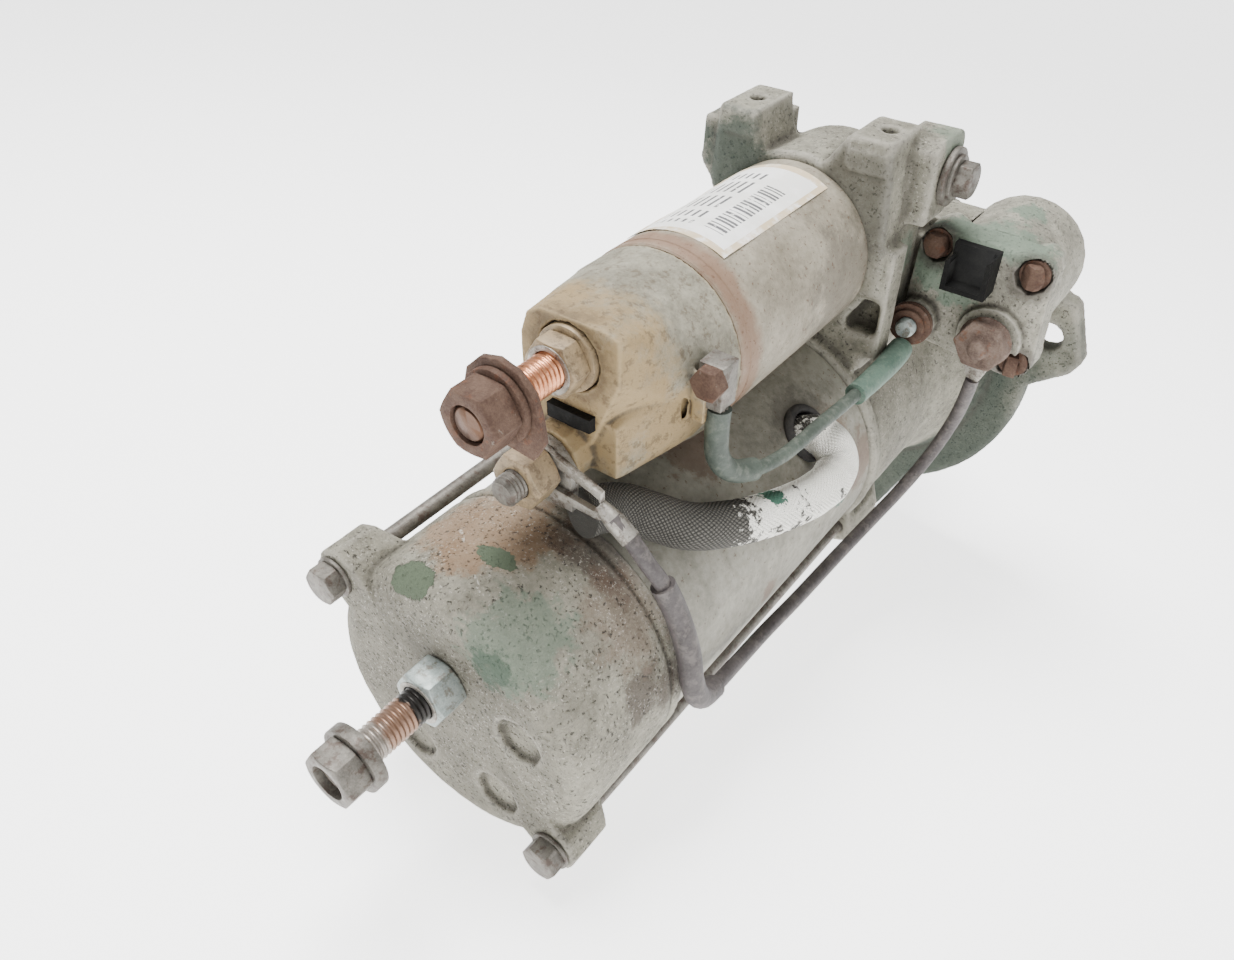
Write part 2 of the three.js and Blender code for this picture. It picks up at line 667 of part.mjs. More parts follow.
function relayBody() {
  const [y, z] = RELAY;
  const cup = turned([
    [RELAY_JOINT + GAP, 20.8], [RELAY_JOINT + GAP, RELAY_R], [288, RELAY_R], [293, 22.5],
    [RELAY_END, 17], [RELAY_END, 0], [291, 0], [291, 20.8],
  ], WIDE, RELAY);
  const lugs = RELAY_BOLTS.map((at) => skin([
    ...circle(RELAY_JOINT + GAP, 7.5, at, TINY), ...circle(255, 6.5, at, TINY),
    ...circle(RELAY_JOINT + GAP, 6, [(at[0] + y) / 2, (at[1] + z) / 2], TINY),
    ...circle(255, 6, [(at[0] + y) / 2, (at[1] + z) / 2], TINY),
  ]));
  const bores = RELAY_BOLTS.map((at) => rod(BOLT_HOLE_R, 240, 256, at, TINY));
  const cavity = rod(20.8, 240, 291, RELAY, WIDE);
  return cut(join(cup, ...lugs), cavity, ...bores);
}

function relayCover() {
  const plate = skin([
    ...[...RELAY_BOLTS, [-47, 56]].flatMap((at) => circle(RELAY_FACE + 3, 7.2, at, TINY)),
    ...[...RELAY_BOLTS, [-47, 56]].flatMap((at) => circle(RELAY_JOINT, 7.6, at, TINY)),
    ...circle(RELAY_FACE, 22, RELAY, SMALL),
  ]);
  const seats = RELAY_BOLTS.map((at) => rod(6.9, 228, 238, at, TINY));
  const bores = RELAY_BOLTS.map((at) => rod(BOLT_HOLE_R, 228, 250, at, TINY));
  const collar = rod(13, 230, 240, RELAY_POST, MEDIUM);
  const pinBoss = rod(8.5, 229, 240, RELAY_PIN, SMALL);
  const cavity = rod(18, 240, 250, RELAY, MEDIUM);
  const holes = [RELAY_POST, RELAY_PIN].map((at) => rod(POST_HOLE_R, 225, 242, at, TINY));
  return cut(join(plate, collar, pinBoss), ...seats, ...bores, cavity, ...holes);
}

function relayBolt(at) {
  return join(rod(BOLT_R, 234, 254.5, at, TINY), rod(5.9, 236.2, 238 - GAP, at, TINY),
    hexagon(9, 232, 237, at));
}

const relayMainPost = () => join(
  rod(POST_R, 217, 241, RELAY_POST, SMALL), hexagon(19, 221, 227, RELAY_POST),
  rod(10.8, 226.9, 227.8, RELAY_POST, SMALL),
);

const relaySmallPost = () => join(
  rod(POST_R, 218, 241, RELAY_PIN, TINY), rod(9, 222, 226.6, RELAY_PIN, SMALL),
);

function relaySocket() {
  const outer = block(222, RELAY_FACE - GAP, -74.5, -57, 80, 97);
  const inner = block(221, 229, -72.5, -59, 82, 98);
  return cut(outer, inner);
}

const relayPlunger = () => join(
  rod(8.6, 262, 288, RELAY, SMALL), rod(2.5, 251, 263, RELAY, TINY), rod(15, 250, 252.2, RELAY, SMALL),
);

// ---------------------------------------------------------------- leads

const MOTOR_LEAD = [
  [50.5, -17, 62], [56, -18.5, 61], [63, -22.5, 59], [70, -30, 54.5], [78, -38, 49],
  [91, -44, 43.5], [109, -49.5, 37.5], [126, -53, 33], [142, -55, 29.5], [154, -55, 28.8],
  [161.5, -52.5, 32], [163, -46.5, 37], [163, -40, 36.5], [163, -33, 32],
];

const SIDE_LEAD = [
  [47.6, -31, 69.8], [48, -37, 65], [50, -42.5, 56], [53, -46.5, 47], [55, -50.5, 36],
  [55, -56, 22], [54.5, -59.5, 7], [58, -60.5, -1.5], [68, -60, -6.5], [84, -59, -10.5],
  [106, -58, -14.5], [133, -58, -18], [164, -58.5, -19.5], [197, -60, -19.5],
  [215, -62.5, -15.5], [229, -67, -4], [234, -71.5, 12], [231.5, -75, 28], [228.8, -77, 43],
];

const CONTROL_LEAD = [
  [92.5, -38.4, 88], [91.8, -38.6, 79], [93, -39.4, 68.5], [98, -42, 61.5], [107, -45.5, 58],
  [118, -48, 56.5], [132, -49, 55.5], [146, -49, 54.5], [160, -49, 53], [177, -49, 51.5],
  [193, -49, 50.5], [207, -48.6, 49.8], [216, -48.3, 50.2], [220.5, -48, 50.6],
];

function motorLead() {
  const lug = skin([
    ...circle(49.2, 9, MOTOR_POST, SMALL), ...circle(52.6, 9, MOTOR_POST, SMALL),
    ...circle(49.2, 7, [-17, 62], SMALL), ...circle(52.6, 7, [-17, 62], SMALL),
  ]);
  const braid = lead(MOTOR_LEAD, 8, 10, 22);
  return cut(join(lug, braid), rod(5.3, 40, 60, MOTOR_POST, SMALL));
}

function sideLead() {
  const [y, z] = MOTOR_POST;
  const eye = skin([
    ...circle(46.8, 9.2, MOTOR_POST, TINY), ...circle(48.9, 9.2, MOTOR_POST, TINY),
    ...circle(46.8, 5.5, [-26, 72.5], TINY), ...circle(48.9, 5.5, [-26, 72.5], TINY),
  ]);
  const slot = skin([
    ...circle(40, 5.4, MOTOR_POST, TINY), ...circle(50, 5.4, MOTOR_POST, TINY),
    ...circle(40, 3.2, [-24, 72.8], TINY), ...circle(50, 3.2, [-24, 72.8], TINY),
  ]);
  const crimp = pin(3.4, [47.8, y - 24, z - 4.6], [48, -37, 65], 10);
  const sleeve = lead(SIDE_LEAD.slice(3, 9), 4.2, TINY, 7);
  const wire = lead(SIDE_LEAD, 2.8, TINY, 32);
  const tongue = skin([
    ...circle(228, 8, RELAY_POST, TINY), ...circle(229.6, 8, RELAY_POST, TINY),
    ...circle(228, 3.4, [-77, 45], TINY), ...circle(229.6, 3.4, [-77, 45], TINY),
  ]);
  const whole = join(cut(eye, slot), crimp, sleeve, wire, tongue);
  return cut(whole, rod(POST_HOLE_R, 225, 232, RELAY_POST));
}

function controlLead() {
  const sleeve = lead(CONTROL_LEAD.slice(0, 5), 4, TINY, 6);
  const wire = lead(CONTROL_LEAD, 2.5, TINY, 22);
  const boot = lead(CONTROL_LEAD.slice(10), 4.6, TINY, 4);
  const eyelet = skin([
    ...circle(227, 7.2, RELAY_PIN, TINY), ...circle(228.6, 7.2, RELAY_PIN, TINY),
    ...circle(227, 2.4, [-48, 48.6], TINY), ...circle(228.6, 2.4, [-48, 48.6], TINY),
  ]);
  const tail = pin(2.4, [219, -48, 48.2], [228, -48, 48.2], TINY);
  return cut(join(sleeve, wire, boot, eyelet, tail), rod(POST_HOLE_R, 220, 232, RELAY_PIN, TINY));
}

// ---------------------------------------------------------------- assembly

piece('rear_bracket', rearBracket(), 'cast');
piece('rear_bearing', ring(BEARING_SEAT_R - GAP, 6.1, 9.9, HUB_END - GAP), 'steel');
piece('yoke', yoke(), 'yoke');
piece('through_bolt_upper', throughBolt(BOLTS.upper), 'dull');
piece('through_bolt_lower', throughBolt(BOLTS.lower), 'dull');
[0, 90, 180, 270].forEach((degrees, i) => piece(`field_pole_${i + 1}`, fieldPole(degrees), 'dull'));

piece('armature_shaft', armatureShaft(), 'steel');
piece('armature_core', armatureCore(), 'winding');
piece('commutator', commutator(), 'copper');
piece('brush_holder', brushHolder(), 'brass');
BRUSH_ANGLES.forEach((angle, i) => piece(`brush_${i + 1}`, brush(angle), 'carbon'));

piece('centre_plate', centrePlate(), 'steel');
piece('ring_gear', ringGear(), 'dull');
[0, 1, 2].forEach((i) => piece(`planet_gear_${i + 1}`, planetGear(i), 'steel'));
piece('planet_carrier', planetCarrier(), 'steel');
piece('overrunning_clutch', overrunningClutch(), 'steel');
piece('pinion', pinion(), 'steel');
piece('front_bearing', ring(26, 14.4, 290.3, 305.4, [0, 0], WIDE), 'steel');

piece('front_bracket', frontBracket(), 'cast');
piece('shift_lever', shiftLever(), 'dull');
const leverPin = pin(LEVER_PIN_R, [LEVER_X, -39, PIVOT_Z], [LEVER_X, 39, PIVOT_Z], TINY);
piece('lever_pin', leverPin, 'steel');
piece('clamp_bolt', clampBolt(), 'zinc');

piece('ground_stud', rod(STUD_R, -45, 7.5, GROUND, SMALL), 'rust');
piece('ground_base_nut', hexNut(18, -11.6, -GAP, GROUND, STUD_HOLE_R), 'zinc');
piece('ground_end_nut', flangedNut(18, -47.5, -36.5, 11.4, 2.4, GROUND, STUD_HOLE_R), 'dull');

piece('solenoid_can', solenoidCan(), 'yoke');
piece('solenoid_cap', solenoidCap(), 'phenolic');
piece('solenoid_coil', ring(30.2, 13.3, 121.4, 197.6, [0, SOL_Z], WIDE), 'winding');
piece('fixed_core', fixedCore(), 'steel');
piece('plunger', plunger(), 'steel');
piece('return_spring', returnSpring(), 'steel');
piece('moving_contact', movingContact(), 'copper');

piece('battery_stud', post(BATTERY, STUD_R, 17.6, 6.6), 'copper');
piece('battery_base_nut', flangedNut(17, 51, 58.5, 10.8, 4.2, BATTERY, STUD_HOLE_R), 'phenolic');
piece('battery_end_nut', flangedNut(19, 17.2, 28, 11.6, 2.2, BATTERY, STUD_HOLE_R), 'rust');
piece('battery_lug', batteryLug(), 'rust');
piece('motor_stud', post(MOTOR_POST, 5, 30, 8), 'rust');
piece('motor_stud_nut', hexNut(17, 36.2, 46.5, MOTOR_POST, 5.3), 'rust');
piece('signal_terminal', signalTerminal(), 'rust');

piece('relay_body', relayBody(), 'cast');
piece('relay_cover', relayCover(), 'phenolic');
piece('relay_coil', ring(20.4, 9, 256, 290.7, RELAY, MEDIUM), 'winding');
piece('relay_plunger', relayPlunger(), 'steel');
RELAY_BOLTS.forEach((at, i) => piece(`relay_bolt_${i + 1}`, relayBolt(at), 'rust'));
piece('relay_main_post', relayMainPost(), 'rust');
piece('relay_small_post', relaySmallPost(), 'zinc');
piece('relay_socket', relaySocket(), 'black');

piece('motor_lead', motorLead(), 'braid');
piece('side_lead', sideLead(), 'rubber');
piece('control_lead', controlLead(), 'green');

// The origin goes under the middle of the part, level with the foot of its flange.
const bounds = new THREE.Box3().setFromObject(motor);
const middle = bounds.getCenter(new THREE.Vector3());
motor.position.set(-middle.x, -middle.y, -bounds.min.z);

export default motor;
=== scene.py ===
import json
import math

import bpy
from mathutils import Matrix, Vector


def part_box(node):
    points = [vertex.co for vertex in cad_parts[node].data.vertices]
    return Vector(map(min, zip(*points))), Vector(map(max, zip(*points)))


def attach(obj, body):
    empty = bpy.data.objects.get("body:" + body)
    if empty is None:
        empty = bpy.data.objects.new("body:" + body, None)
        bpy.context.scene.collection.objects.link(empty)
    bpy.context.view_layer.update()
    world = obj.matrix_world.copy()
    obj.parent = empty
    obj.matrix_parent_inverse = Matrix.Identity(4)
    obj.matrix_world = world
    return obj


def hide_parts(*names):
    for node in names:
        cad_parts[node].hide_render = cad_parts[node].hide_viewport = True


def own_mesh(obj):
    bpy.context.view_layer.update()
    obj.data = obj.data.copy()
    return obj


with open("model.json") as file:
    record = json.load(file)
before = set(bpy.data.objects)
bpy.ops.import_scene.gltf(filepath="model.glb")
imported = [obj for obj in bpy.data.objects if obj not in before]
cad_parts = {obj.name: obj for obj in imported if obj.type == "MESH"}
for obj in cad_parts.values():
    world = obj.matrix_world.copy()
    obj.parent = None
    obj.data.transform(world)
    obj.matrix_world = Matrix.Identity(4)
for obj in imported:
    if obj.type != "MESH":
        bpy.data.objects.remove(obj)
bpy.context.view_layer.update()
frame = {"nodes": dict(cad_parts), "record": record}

# Starter motor. Lengths in the calls below are millimetres, measured forward from the rear face
# and outward from the motor axis. at() turns them into metres in the frame.

MM = 0.001
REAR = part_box("rear_bracket")[0].x
AXIS = (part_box("yoke")[0].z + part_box("yoke")[1].z) / 2
SLOTS = {part["node"]: part["material_slot"] for part in frame["record"]["subparts"]}
BODIES = {
    node: body
    for body, members in frame["record"]["behaviour"]["bodies"].items()
    for node in members
}

YOKE_R = 52.5
BRACKET_R = 54.2
BRACKET_END = 56.8
SOLENOID = (0, 88.3)
SOLENOID_R = 33.8
CAN_START = 113.6
CAN_END = 204.2
GROUND = (-1.6, 20.1)
BATTERY = (-5, 110)
MOTOR = (-3, 76.5)
BOLTS = ((44.9, 37.4), (-42.8, -36.1))
RELAY = (-69, 73)
RELAY_R = 25
RELAY_BOLTS = ((-48.4, 91), (-87, 89.5), (-88.5, 51.5))
RELAY_POST = (-78, 61.5)
RELAY_PIN = (-48, 60)
CLAMP = (234, -47, 119)
LEAD_HOLE = (163, 136)
LOWER_EAR = 105  # forward of the front bracket's rear edge
BRUSH_ANGLES = (45, 135, 225, 315)
NOTCH_SLANT = 0.7
MAIN_ROUND = 128
SMALL_ROUND = 64


def at(x, y=0.0, z=0.0):
    return Vector((REAR + x * MM, y * MM, AXIS + z * MM))


# ---------------------------------------------------------------- modelling tools


def deselect():
    bpy.ops.object.select_all(action="DESELECT")


def pick(piece):
    deselect()
    piece.select_set(True)
    bpy.context.view_layer.objects.active = piece
    return piece


def settle(piece, name):
    pick(piece)
    bpy.ops.object.transform_apply(location=True, rotation=True, scale=True)
    piece.name = name
    piece.data.name = name
    return piece


def apply_all(piece):
    pick(piece)
    for modifier in list(piece.modifiers):
        bpy.ops.object.modifier_apply(modifier=modifier.name)
    return piece


def soften(piece, width=0.4, segments=2, angle=32):
    bevel = piece.modifiers.new("edge", "BEVEL")
    bevel.width = width * MM
    bevel.segments = segments
    bevel.limit_method = "ANGLE"
    bevel.angle_limit = math.radians(angle)
    apply_all(piece)
    bpy.ops.object.shade_smooth_by_angle(angle=math.radians(40))
    return piece


def lathe(name, profile, centre=(0, 0), steps=SMALL_ROUND):
    """Spins (x, radius) points about a line along X. A profile that starts off the axis is closed."""
    deselect()
    first = at(profile[0][0], centre[0], centre[1] + profile[0][1])
    bpy.ops.mesh.primitive_plane_add(size=MM, location=first)
    piece = bpy.context.object
    bpy.ops.object.mode_set(mode="EDIT")
    bpy.ops.mesh.merge(type="CENTER")
    closed = profile[0][1] > 0
    ring = list(profile) + ([profile[0]] if closed else [])
    for (x0, r0), (x1, r1) in zip(ring, ring[1:]):
        step = ((x1 - x0) * MM, 0, (r1 - r0) * MM)
        bpy.ops.mesh.extrude_region_move(TRANSFORM_OT_translate={"value": step})
    bpy.ops.mesh.select_all(action="SELECT")
    bpy.ops.mesh.spin(
        steps=steps, angle=2 * math.pi, center=at(0, *centre), axis=(1, 0, 0), use_normal_flip=False
    )
    bpy.ops.mesh.select_all(action="SELECT")
    bpy.ops.mesh.remove_doubles(threshold=0.002 * MM)
    bpy.ops.mesh.normals_make_consistent(inside=False)
    bpy.ops.object.mode_set(mode="OBJECT")
    return settle(piece, name)


def block(name, low, high):
    deselect()
    middle = [(a + b) / 2 for a, b in zip(low, high)]
    bpy.ops.mesh.primitive_cube_add(size=1, location=at(*middle))
    piece = bpy.context.object
    piece.scale = [(b - a) * MM for a, b in zip(low, high)]
    return settle(piece, name)


def cylinder(name, radius, x0, x1, centre, sides=SMALL_ROUND, turn=0.0):
    deselect()
    bpy.ops.mesh.primitive_cylinder_add(
        vertices=sides, radius=radius * MM, depth=(x1 - x0) * MM,
        location=at((x0 + x1) / 2, *centre), rotation=(turn, math.pi / 2, 0),
    )
    return settle(bpy.context.object, name)


def cut(piece, tool, operation="DIFFERENCE"):
    change = piece.modifiers.new("cut", "BOOLEAN")
    change.operation = operation
    change.solver = "EXACT"
    change.object = tool
    apply_all(piece)
    bpy.data.objects.remove(tool)
    return piece


def joined(name, *pieces):
    deselect()
    for piece in pieces:
        piece.select_set(True)
    bpy.context.view_layer.objects.active = pieces[0]
    bpy.ops.object.join()
    return settle(bpy.context.object, name)


def cad_copy(node):
    piece = frame["nodes"][node].copy()
    piece.data = piece.data.copy()
    piece.parent = None
    for key in list(piece.keys()):
        del piece[key]
    bpy.context.scene.collection.objects.link(piece)
    pick(piece)
    piece.data.materials.clear()
    bpy.ops.object.mode_set(mode="EDIT")
    bpy.ops.mesh.select_all(action="SELECT")
    bpy.ops.mesh.remove_doubles(threshold=0.01 * MM)
    bpy.ops.object.mode_set(mode="OBJECT")
    return piece


def cast_skin(piece, grain=0.9, rounds=4, rough=0.25):
    """Sand-cast surface: corners melt a little and the faces are never quite flat."""
    remesh = piece.modifiers.new("skin", "REMESH")
    remesh.mode = "VOXEL"
    remesh.voxel_size = grain * MM
    smooth = piece.modifiers.new("melt", "SMOOTH")
    smooth.factor = 0.5
    smooth.iterations = rounds
    waves = bpy.data.textures.new("cast_waves", "CLOUDS")
    waves.noise_scale = 6 * MM
    waves.noise_depth = 3
    displace = piece.modifiers.new("sand", "DISPLACE")
    displace.texture = waves
    displace.texture_coords = "LOCAL"
    displace.strength = rough * MM
    displace.mid_level = 0.75
    apply_all(piece)
    bpy.ops.object.shade_smooth()
    return piece


def nut(name, flats, x0, x1, centre, bore=0.0, turn=0.0):
    corner = flats / math.sqrt(3)
    piece = cylinder(name, corner, x0, x1, centre, 6, turn)
    edge = (corner - flats / 2) * 0.55
    limit = lathe("chamfer", [
        (x0 - 0.01, 0), (x0 - 0.01, flats / 2 * 0.97), (x0 + edge, corner + 0.05),
        (x1 - edge, corner + 0.05), (x1 + 0.01, flats / 2 * 0.97), (x1 + 0.01, 0),
    ], centre)
    cut(piece, limit, "INTERSECT")
    if bore:
        cut(piece, cylinder("bore", bore, x0 - 1, x1 + 1, centre))
    return soften(piece, 0.25)


def washer(name, outer, inner, x0, x1, centre):
    return soften(lathe(name, [(x0, inner), (x0, outer), (x1, outer), (x1, inner)], centre), 0.25)


def aim(piece, place, direction):
    """Turns a mesh made along X about the motor axis to point in a direction from a place."""
    turn = Vector(direction).to_track_quat("X", "Z").to_matrix().to_4x4()
    piece.data.transform(Matrix.Translation(place) @ turn @ Matrix.Translation(-at(0)))
    return piece


def stud(name, radius, x0, x1, centre, pitch=1.75, thread_end=None):
    """A rod with a helical thread from its tip to thread_end."""
    thread_end = x1 if thread_end is None else thread_end
    rows = int((thread_end - x0 - 1) / (pitch / 8))
    profile = [(x0, 0), (x0, radius * 0.78)]
    profile += [(x0 + 1 + i * pitch / 8, radius) for i in range(rows + 1)]
    if x1 - profile[-1][0] > pitch:
        profile.append((x1, radius))
    profile.append((profile[-1][0], 0))
    piece = lathe(name, profile, centre, 48)
    depth = 0.3 * pitch
    middle = at(0, *centre)
    for vertex in piece.data.vertices:
        x = (vertex.co.x - REAR) / MM
        out = vertex.co - middle
        out.x = 0
        if x < x0 + 0.9 or x > thread_end or out.length < radius * 0.95 * MM:
            continue
        turn = math.atan2(out.z, out.y) / (2 * math.pi)
        tooth = abs(2 * ((x / pitch + turn) % 1) - 1)
        vertex.co -= out.normalized() * depth * MM * min(1, 1.3 * tooth)
    pick(piece)
    bpy.ops.object.shade_smooth_by_angle(angle=math.radians(50))
    return piece


def lead(name, route, radii, sides=6):
    """A lead through the route's points. radii is one radius, or one for each point."""
    curve = bpy.data.curves.new(name, "CURVE")
    curve.dimensions = "3D"
    curve.resolution_u = 14
    curve.bevel_resolution = sides
    curve.use_fill_caps = True
    if not isinstance(radii, list):
        radii = [radii] * len(route)
    thickest = max(radii)
    curve.bevel_depth = thickest * MM
    spline = curve.splines.new("BEZIER")
    spline.bezier_points.add(len(route) - 1)
    for knot, point, radius in zip(spline.bezier_points, route, radii):
        knot.co = at(*point)
        knot.handle_left_type = "AUTO"
        knot.handle_right_type = "AUTO"
        knot.radius = radius / thickest
    piece = bpy.data.objects.new(name, curve)
    bpy.context.scene.collection.objects.link(piece)
    pick(piece)
    bpy.ops.object.convert(target="MESH")
    piece = bpy.context.object
    bpy.ops.object.shade_smooth_by_angle(angle=math.radians(60))
    return piece


# ---------------------------------------------------------------- material tools


class Finish:
    """One material's nodes. Patterns read Object coordinates, so they are fixed to the metal."""

    def __init__(self, name, metallic=0.0, specular=0.5):
        self.material = bpy.data.materials.new(name)
        self.material.use_nodes = True
        self.nodes = self.material.node_tree.nodes
        self.links = self.material.node_tree.links
        self.shader = self.nodes["Principled BSDF"]
        self.shader.inputs["Metallic"].default_value = metallic
        self.shader.inputs["Specular IOR Level"].default_value = specular
        self.place = self.nodes.new("ShaderNodeTexCoord").outputs["Object"]

    def put(self, socket, value):
        if isinstance(value, bpy.types.NodeSocket):
            self.links.new(value, socket)
        else:
            socket.default_value = value

    def noise(self, size, detail=4, rough=0.6, twist=0.0, shift=0.0):
        """Grey noise with features about size millimetres across."""
        node = self.nodes.new("ShaderNodeTexNoise")
        node.noise_dimensions = "4D"
        node.inputs["W"].default_value = shift
        node.inputs["Scale"].default_value = 1 / (size * MM)
        node.inputs["Detail"].default_value = detail
        node.inputs["Roughness"].default_value = rough
        node.inputs["Distortion"].default_value = twist
        self.links.new(self.place, node.inputs["Vector"])
        return node.outputs["Fac"]

    def math(self, kind, a, b=0.0, clamp=False):
        node = self.nodes.new("ShaderNodeMath")
        node.operation = kind
        node.use_clamp = clamp
        self.put(node.inputs[0], a)
        self.put(node.inputs[1], b)
        return node.outputs[0]

    def vector(self, kind, a, b=None, output=0):
        node = self.nodes.new("ShaderNodeVectorMath")
        node.operation = kind
        self.put(node.inputs[0], a)
        if b is not None:
            self.put(node.inputs[1], b)
        return node.outputs[output]

    def above(self, value, level, edge=0.04):
        node = self.nodes.new("ShaderNodeMapRange")
        node.interpolation_type = "SMOOTHSTEP"
        self.put(node.inputs["Value"], value)
        node.inputs["From Min"].default_value = level - edge
        node.inputs["From Max"].default_value = level + edge
        return node.outputs["Result"]

    def blend(self, amount, low, high):
        node = self.nodes.new("ShaderNodeMix")
        node.data_type = "RGBA"
        self.put(node.inputs[0], amount)
        for socket, colour in ((node.inputs[6], low), (node.inputs[7], high)):
            self.put(socket, colour if isinstance(colour, bpy.types.NodeSocket) else (*colour, 1))
        return node.outputs[2]

    def patch(self, centre, size, ragged=0.5, grain=6.0, stretch=(1, 1, 1), soft=0.3):
        """1 inside a ragged spot around a point, 0 outside it."""
        offset = self.vector("SUBTRACT", self.place, at(*centre))
        scaled = self.vector("DIVIDE", offset, [size * s * MM for s in stretch])
        length = self.vector("LENGTH", scaled, None, "Value")
        broken = self.math("SUBTRACT", self.noise(grain, 9, 0.72), 0.5)
        wobble = self.math("MULTIPLY", broken, ragged * 8)
        inside = self.math("SUBTRACT", 1.0, self.math("ADD", length, wobble))
        return self.above(inside, 0.0, soft)

    def either(self, *masks):
        total = masks[0]
        for mask in masks[1:]:
            total = self.math("MAXIMUM", total, mask)
        return total

    def scratch(self, start, end, width):
        """A dotted line between two points."""
        first, last = at(*start), at(*end)
        reach = (last - first).length
        way = (last - first) / reach
        offset = self.vector("SUBTRACT", self.place, first)
        along = self.vector("DOT_PRODUCT", offset, way, "Value")
        foot = self.nodes.new("ShaderNodeVectorMath")
        foot.operation = "SCALE"
        foot.inputs[0].default_value = way
        self.links.new(along, foot.inputs["Scale"])
        away = self.vector("LENGTH", self.vector("SUBTRACT", offset, foot.outputs[0]), None, "Value")
        near = self.math("LESS_THAN", away, width * MM)
        begun = self.math("GREATER_THAN", along, 0.0)
        ends = self.math("MULTIPLY", begun, self.math("LESS_THAN", along, reach))
        dots = self.above(self.noise(1.3, 3, shift=5), 0.5, 0.03)
        return self.math("MULTIPLY", self.math("MULTIPLY", near, ends), dots)

    # Lighter edges found by pointiness: rubbed wear together with a painted highlight.
    def worn_and_highlit_edges(self, level=0.52, edge=0.02):
        return self.above(self.nodes.new("ShaderNodeNewGeometry").outputs["Pointiness"], level, edge)

    # Darker hollows found by pointiness: grime together with painted shade.
    def grime_and_shade_in_hollows(self, level=0.485, edge=0.02):
        pointy = self.nodes.new("ShaderNodeNewGeometry").outputs["Pointiness"]
        return self.math("SUBTRACT", 1.0, self.above(pointy, level, edge))

    def surface(self, colour, roughness, *bumps):
        """bumps are (height, millimetres) pairs, coarsest first."""
        self.put(self.shader.inputs["Base Color"], colour)
        self.put(self.shader.inputs["Roughness"], roughness)
        normal = None
        for height, deep in bumps:
            node = self.nodes.new("ShaderNodeBump")
            node.inputs["Strength"].default_value = 1.0
            node.inputs["Distance"].default_value = deep * MM
            self.links.new(height, node.inputs["Height"])
            if normal:
                self.links.new(normal, node.inputs["Normal"])
            normal = node.outputs["Normal"]
        if normal:
            self.links.new(normal, self.shader.inputs["Normal"])
        return self.material


SEA_GREEN = (0.045, 0.08, 0.053)
PALE_GREEN = (0.135, 0.188, 0.138)
DEEP_GREEN = (0.02, 0.037, 0.028)
RUST = (0.135, 0.052, 0.025)
DARK_RUST = (0.055, 0.028, 0.019)
TAN = (0.24, 0.125, 0.055)
# Near black for sand pits, and for the painted shade in the cap's hollows.
SOOT_AND_SHADE = (0.018, 0.016, 0.014)
CHALK = (0.55, 0.52, 0.46)


def spread(finish, low, high, size):
    """Two tones of one metal in cloudy patches, with a finer mottle over them."""
    cloud = finish.above(finish.noise(size, 6, 0.65), 0.5, 0.14)
    mottle = finish.above(finish.noise(size / 9, 5, 0.7, shift=3), 0.5, 0.16)
    both = finish.math("ADD", finish.math("MULTIPLY", cloud, 0.6), finish.math("MULTIPLY", mottle, 0.4))
    return finish.blend(both, low, high)


def over(finish, colour, mask, amount, tint):
    """Lays a tint over a colour where the mask says."""
    return finish.blend(finish.math("MULTIPLY", mask, amount), colour, tint)


def salt_and_pepper(finish, colour, salt=0.6, pepper=0.8):
    """Clusters of bright chips and dark pits on a sand casting. Gives the colour and the pits."""
    pits = finish.above(finish.noise(1.2, 4, 0.65, shift=7), 0.61, 0.03)
    clusters = finish.above(finish.noise(11, 4, 0.6, shift=15), 0.47, 0.09)
    chips = finish.above(finish.noise(1.0, 5, 0.75, shift=12), 0.585, 0.025)
    colour = over(finish, colour, finish.math("MULTIPLY", chips, clusters), salt, CHALK)
    return over(finish, colour, pits, pepper, SOOT_AND_SHADE), pits


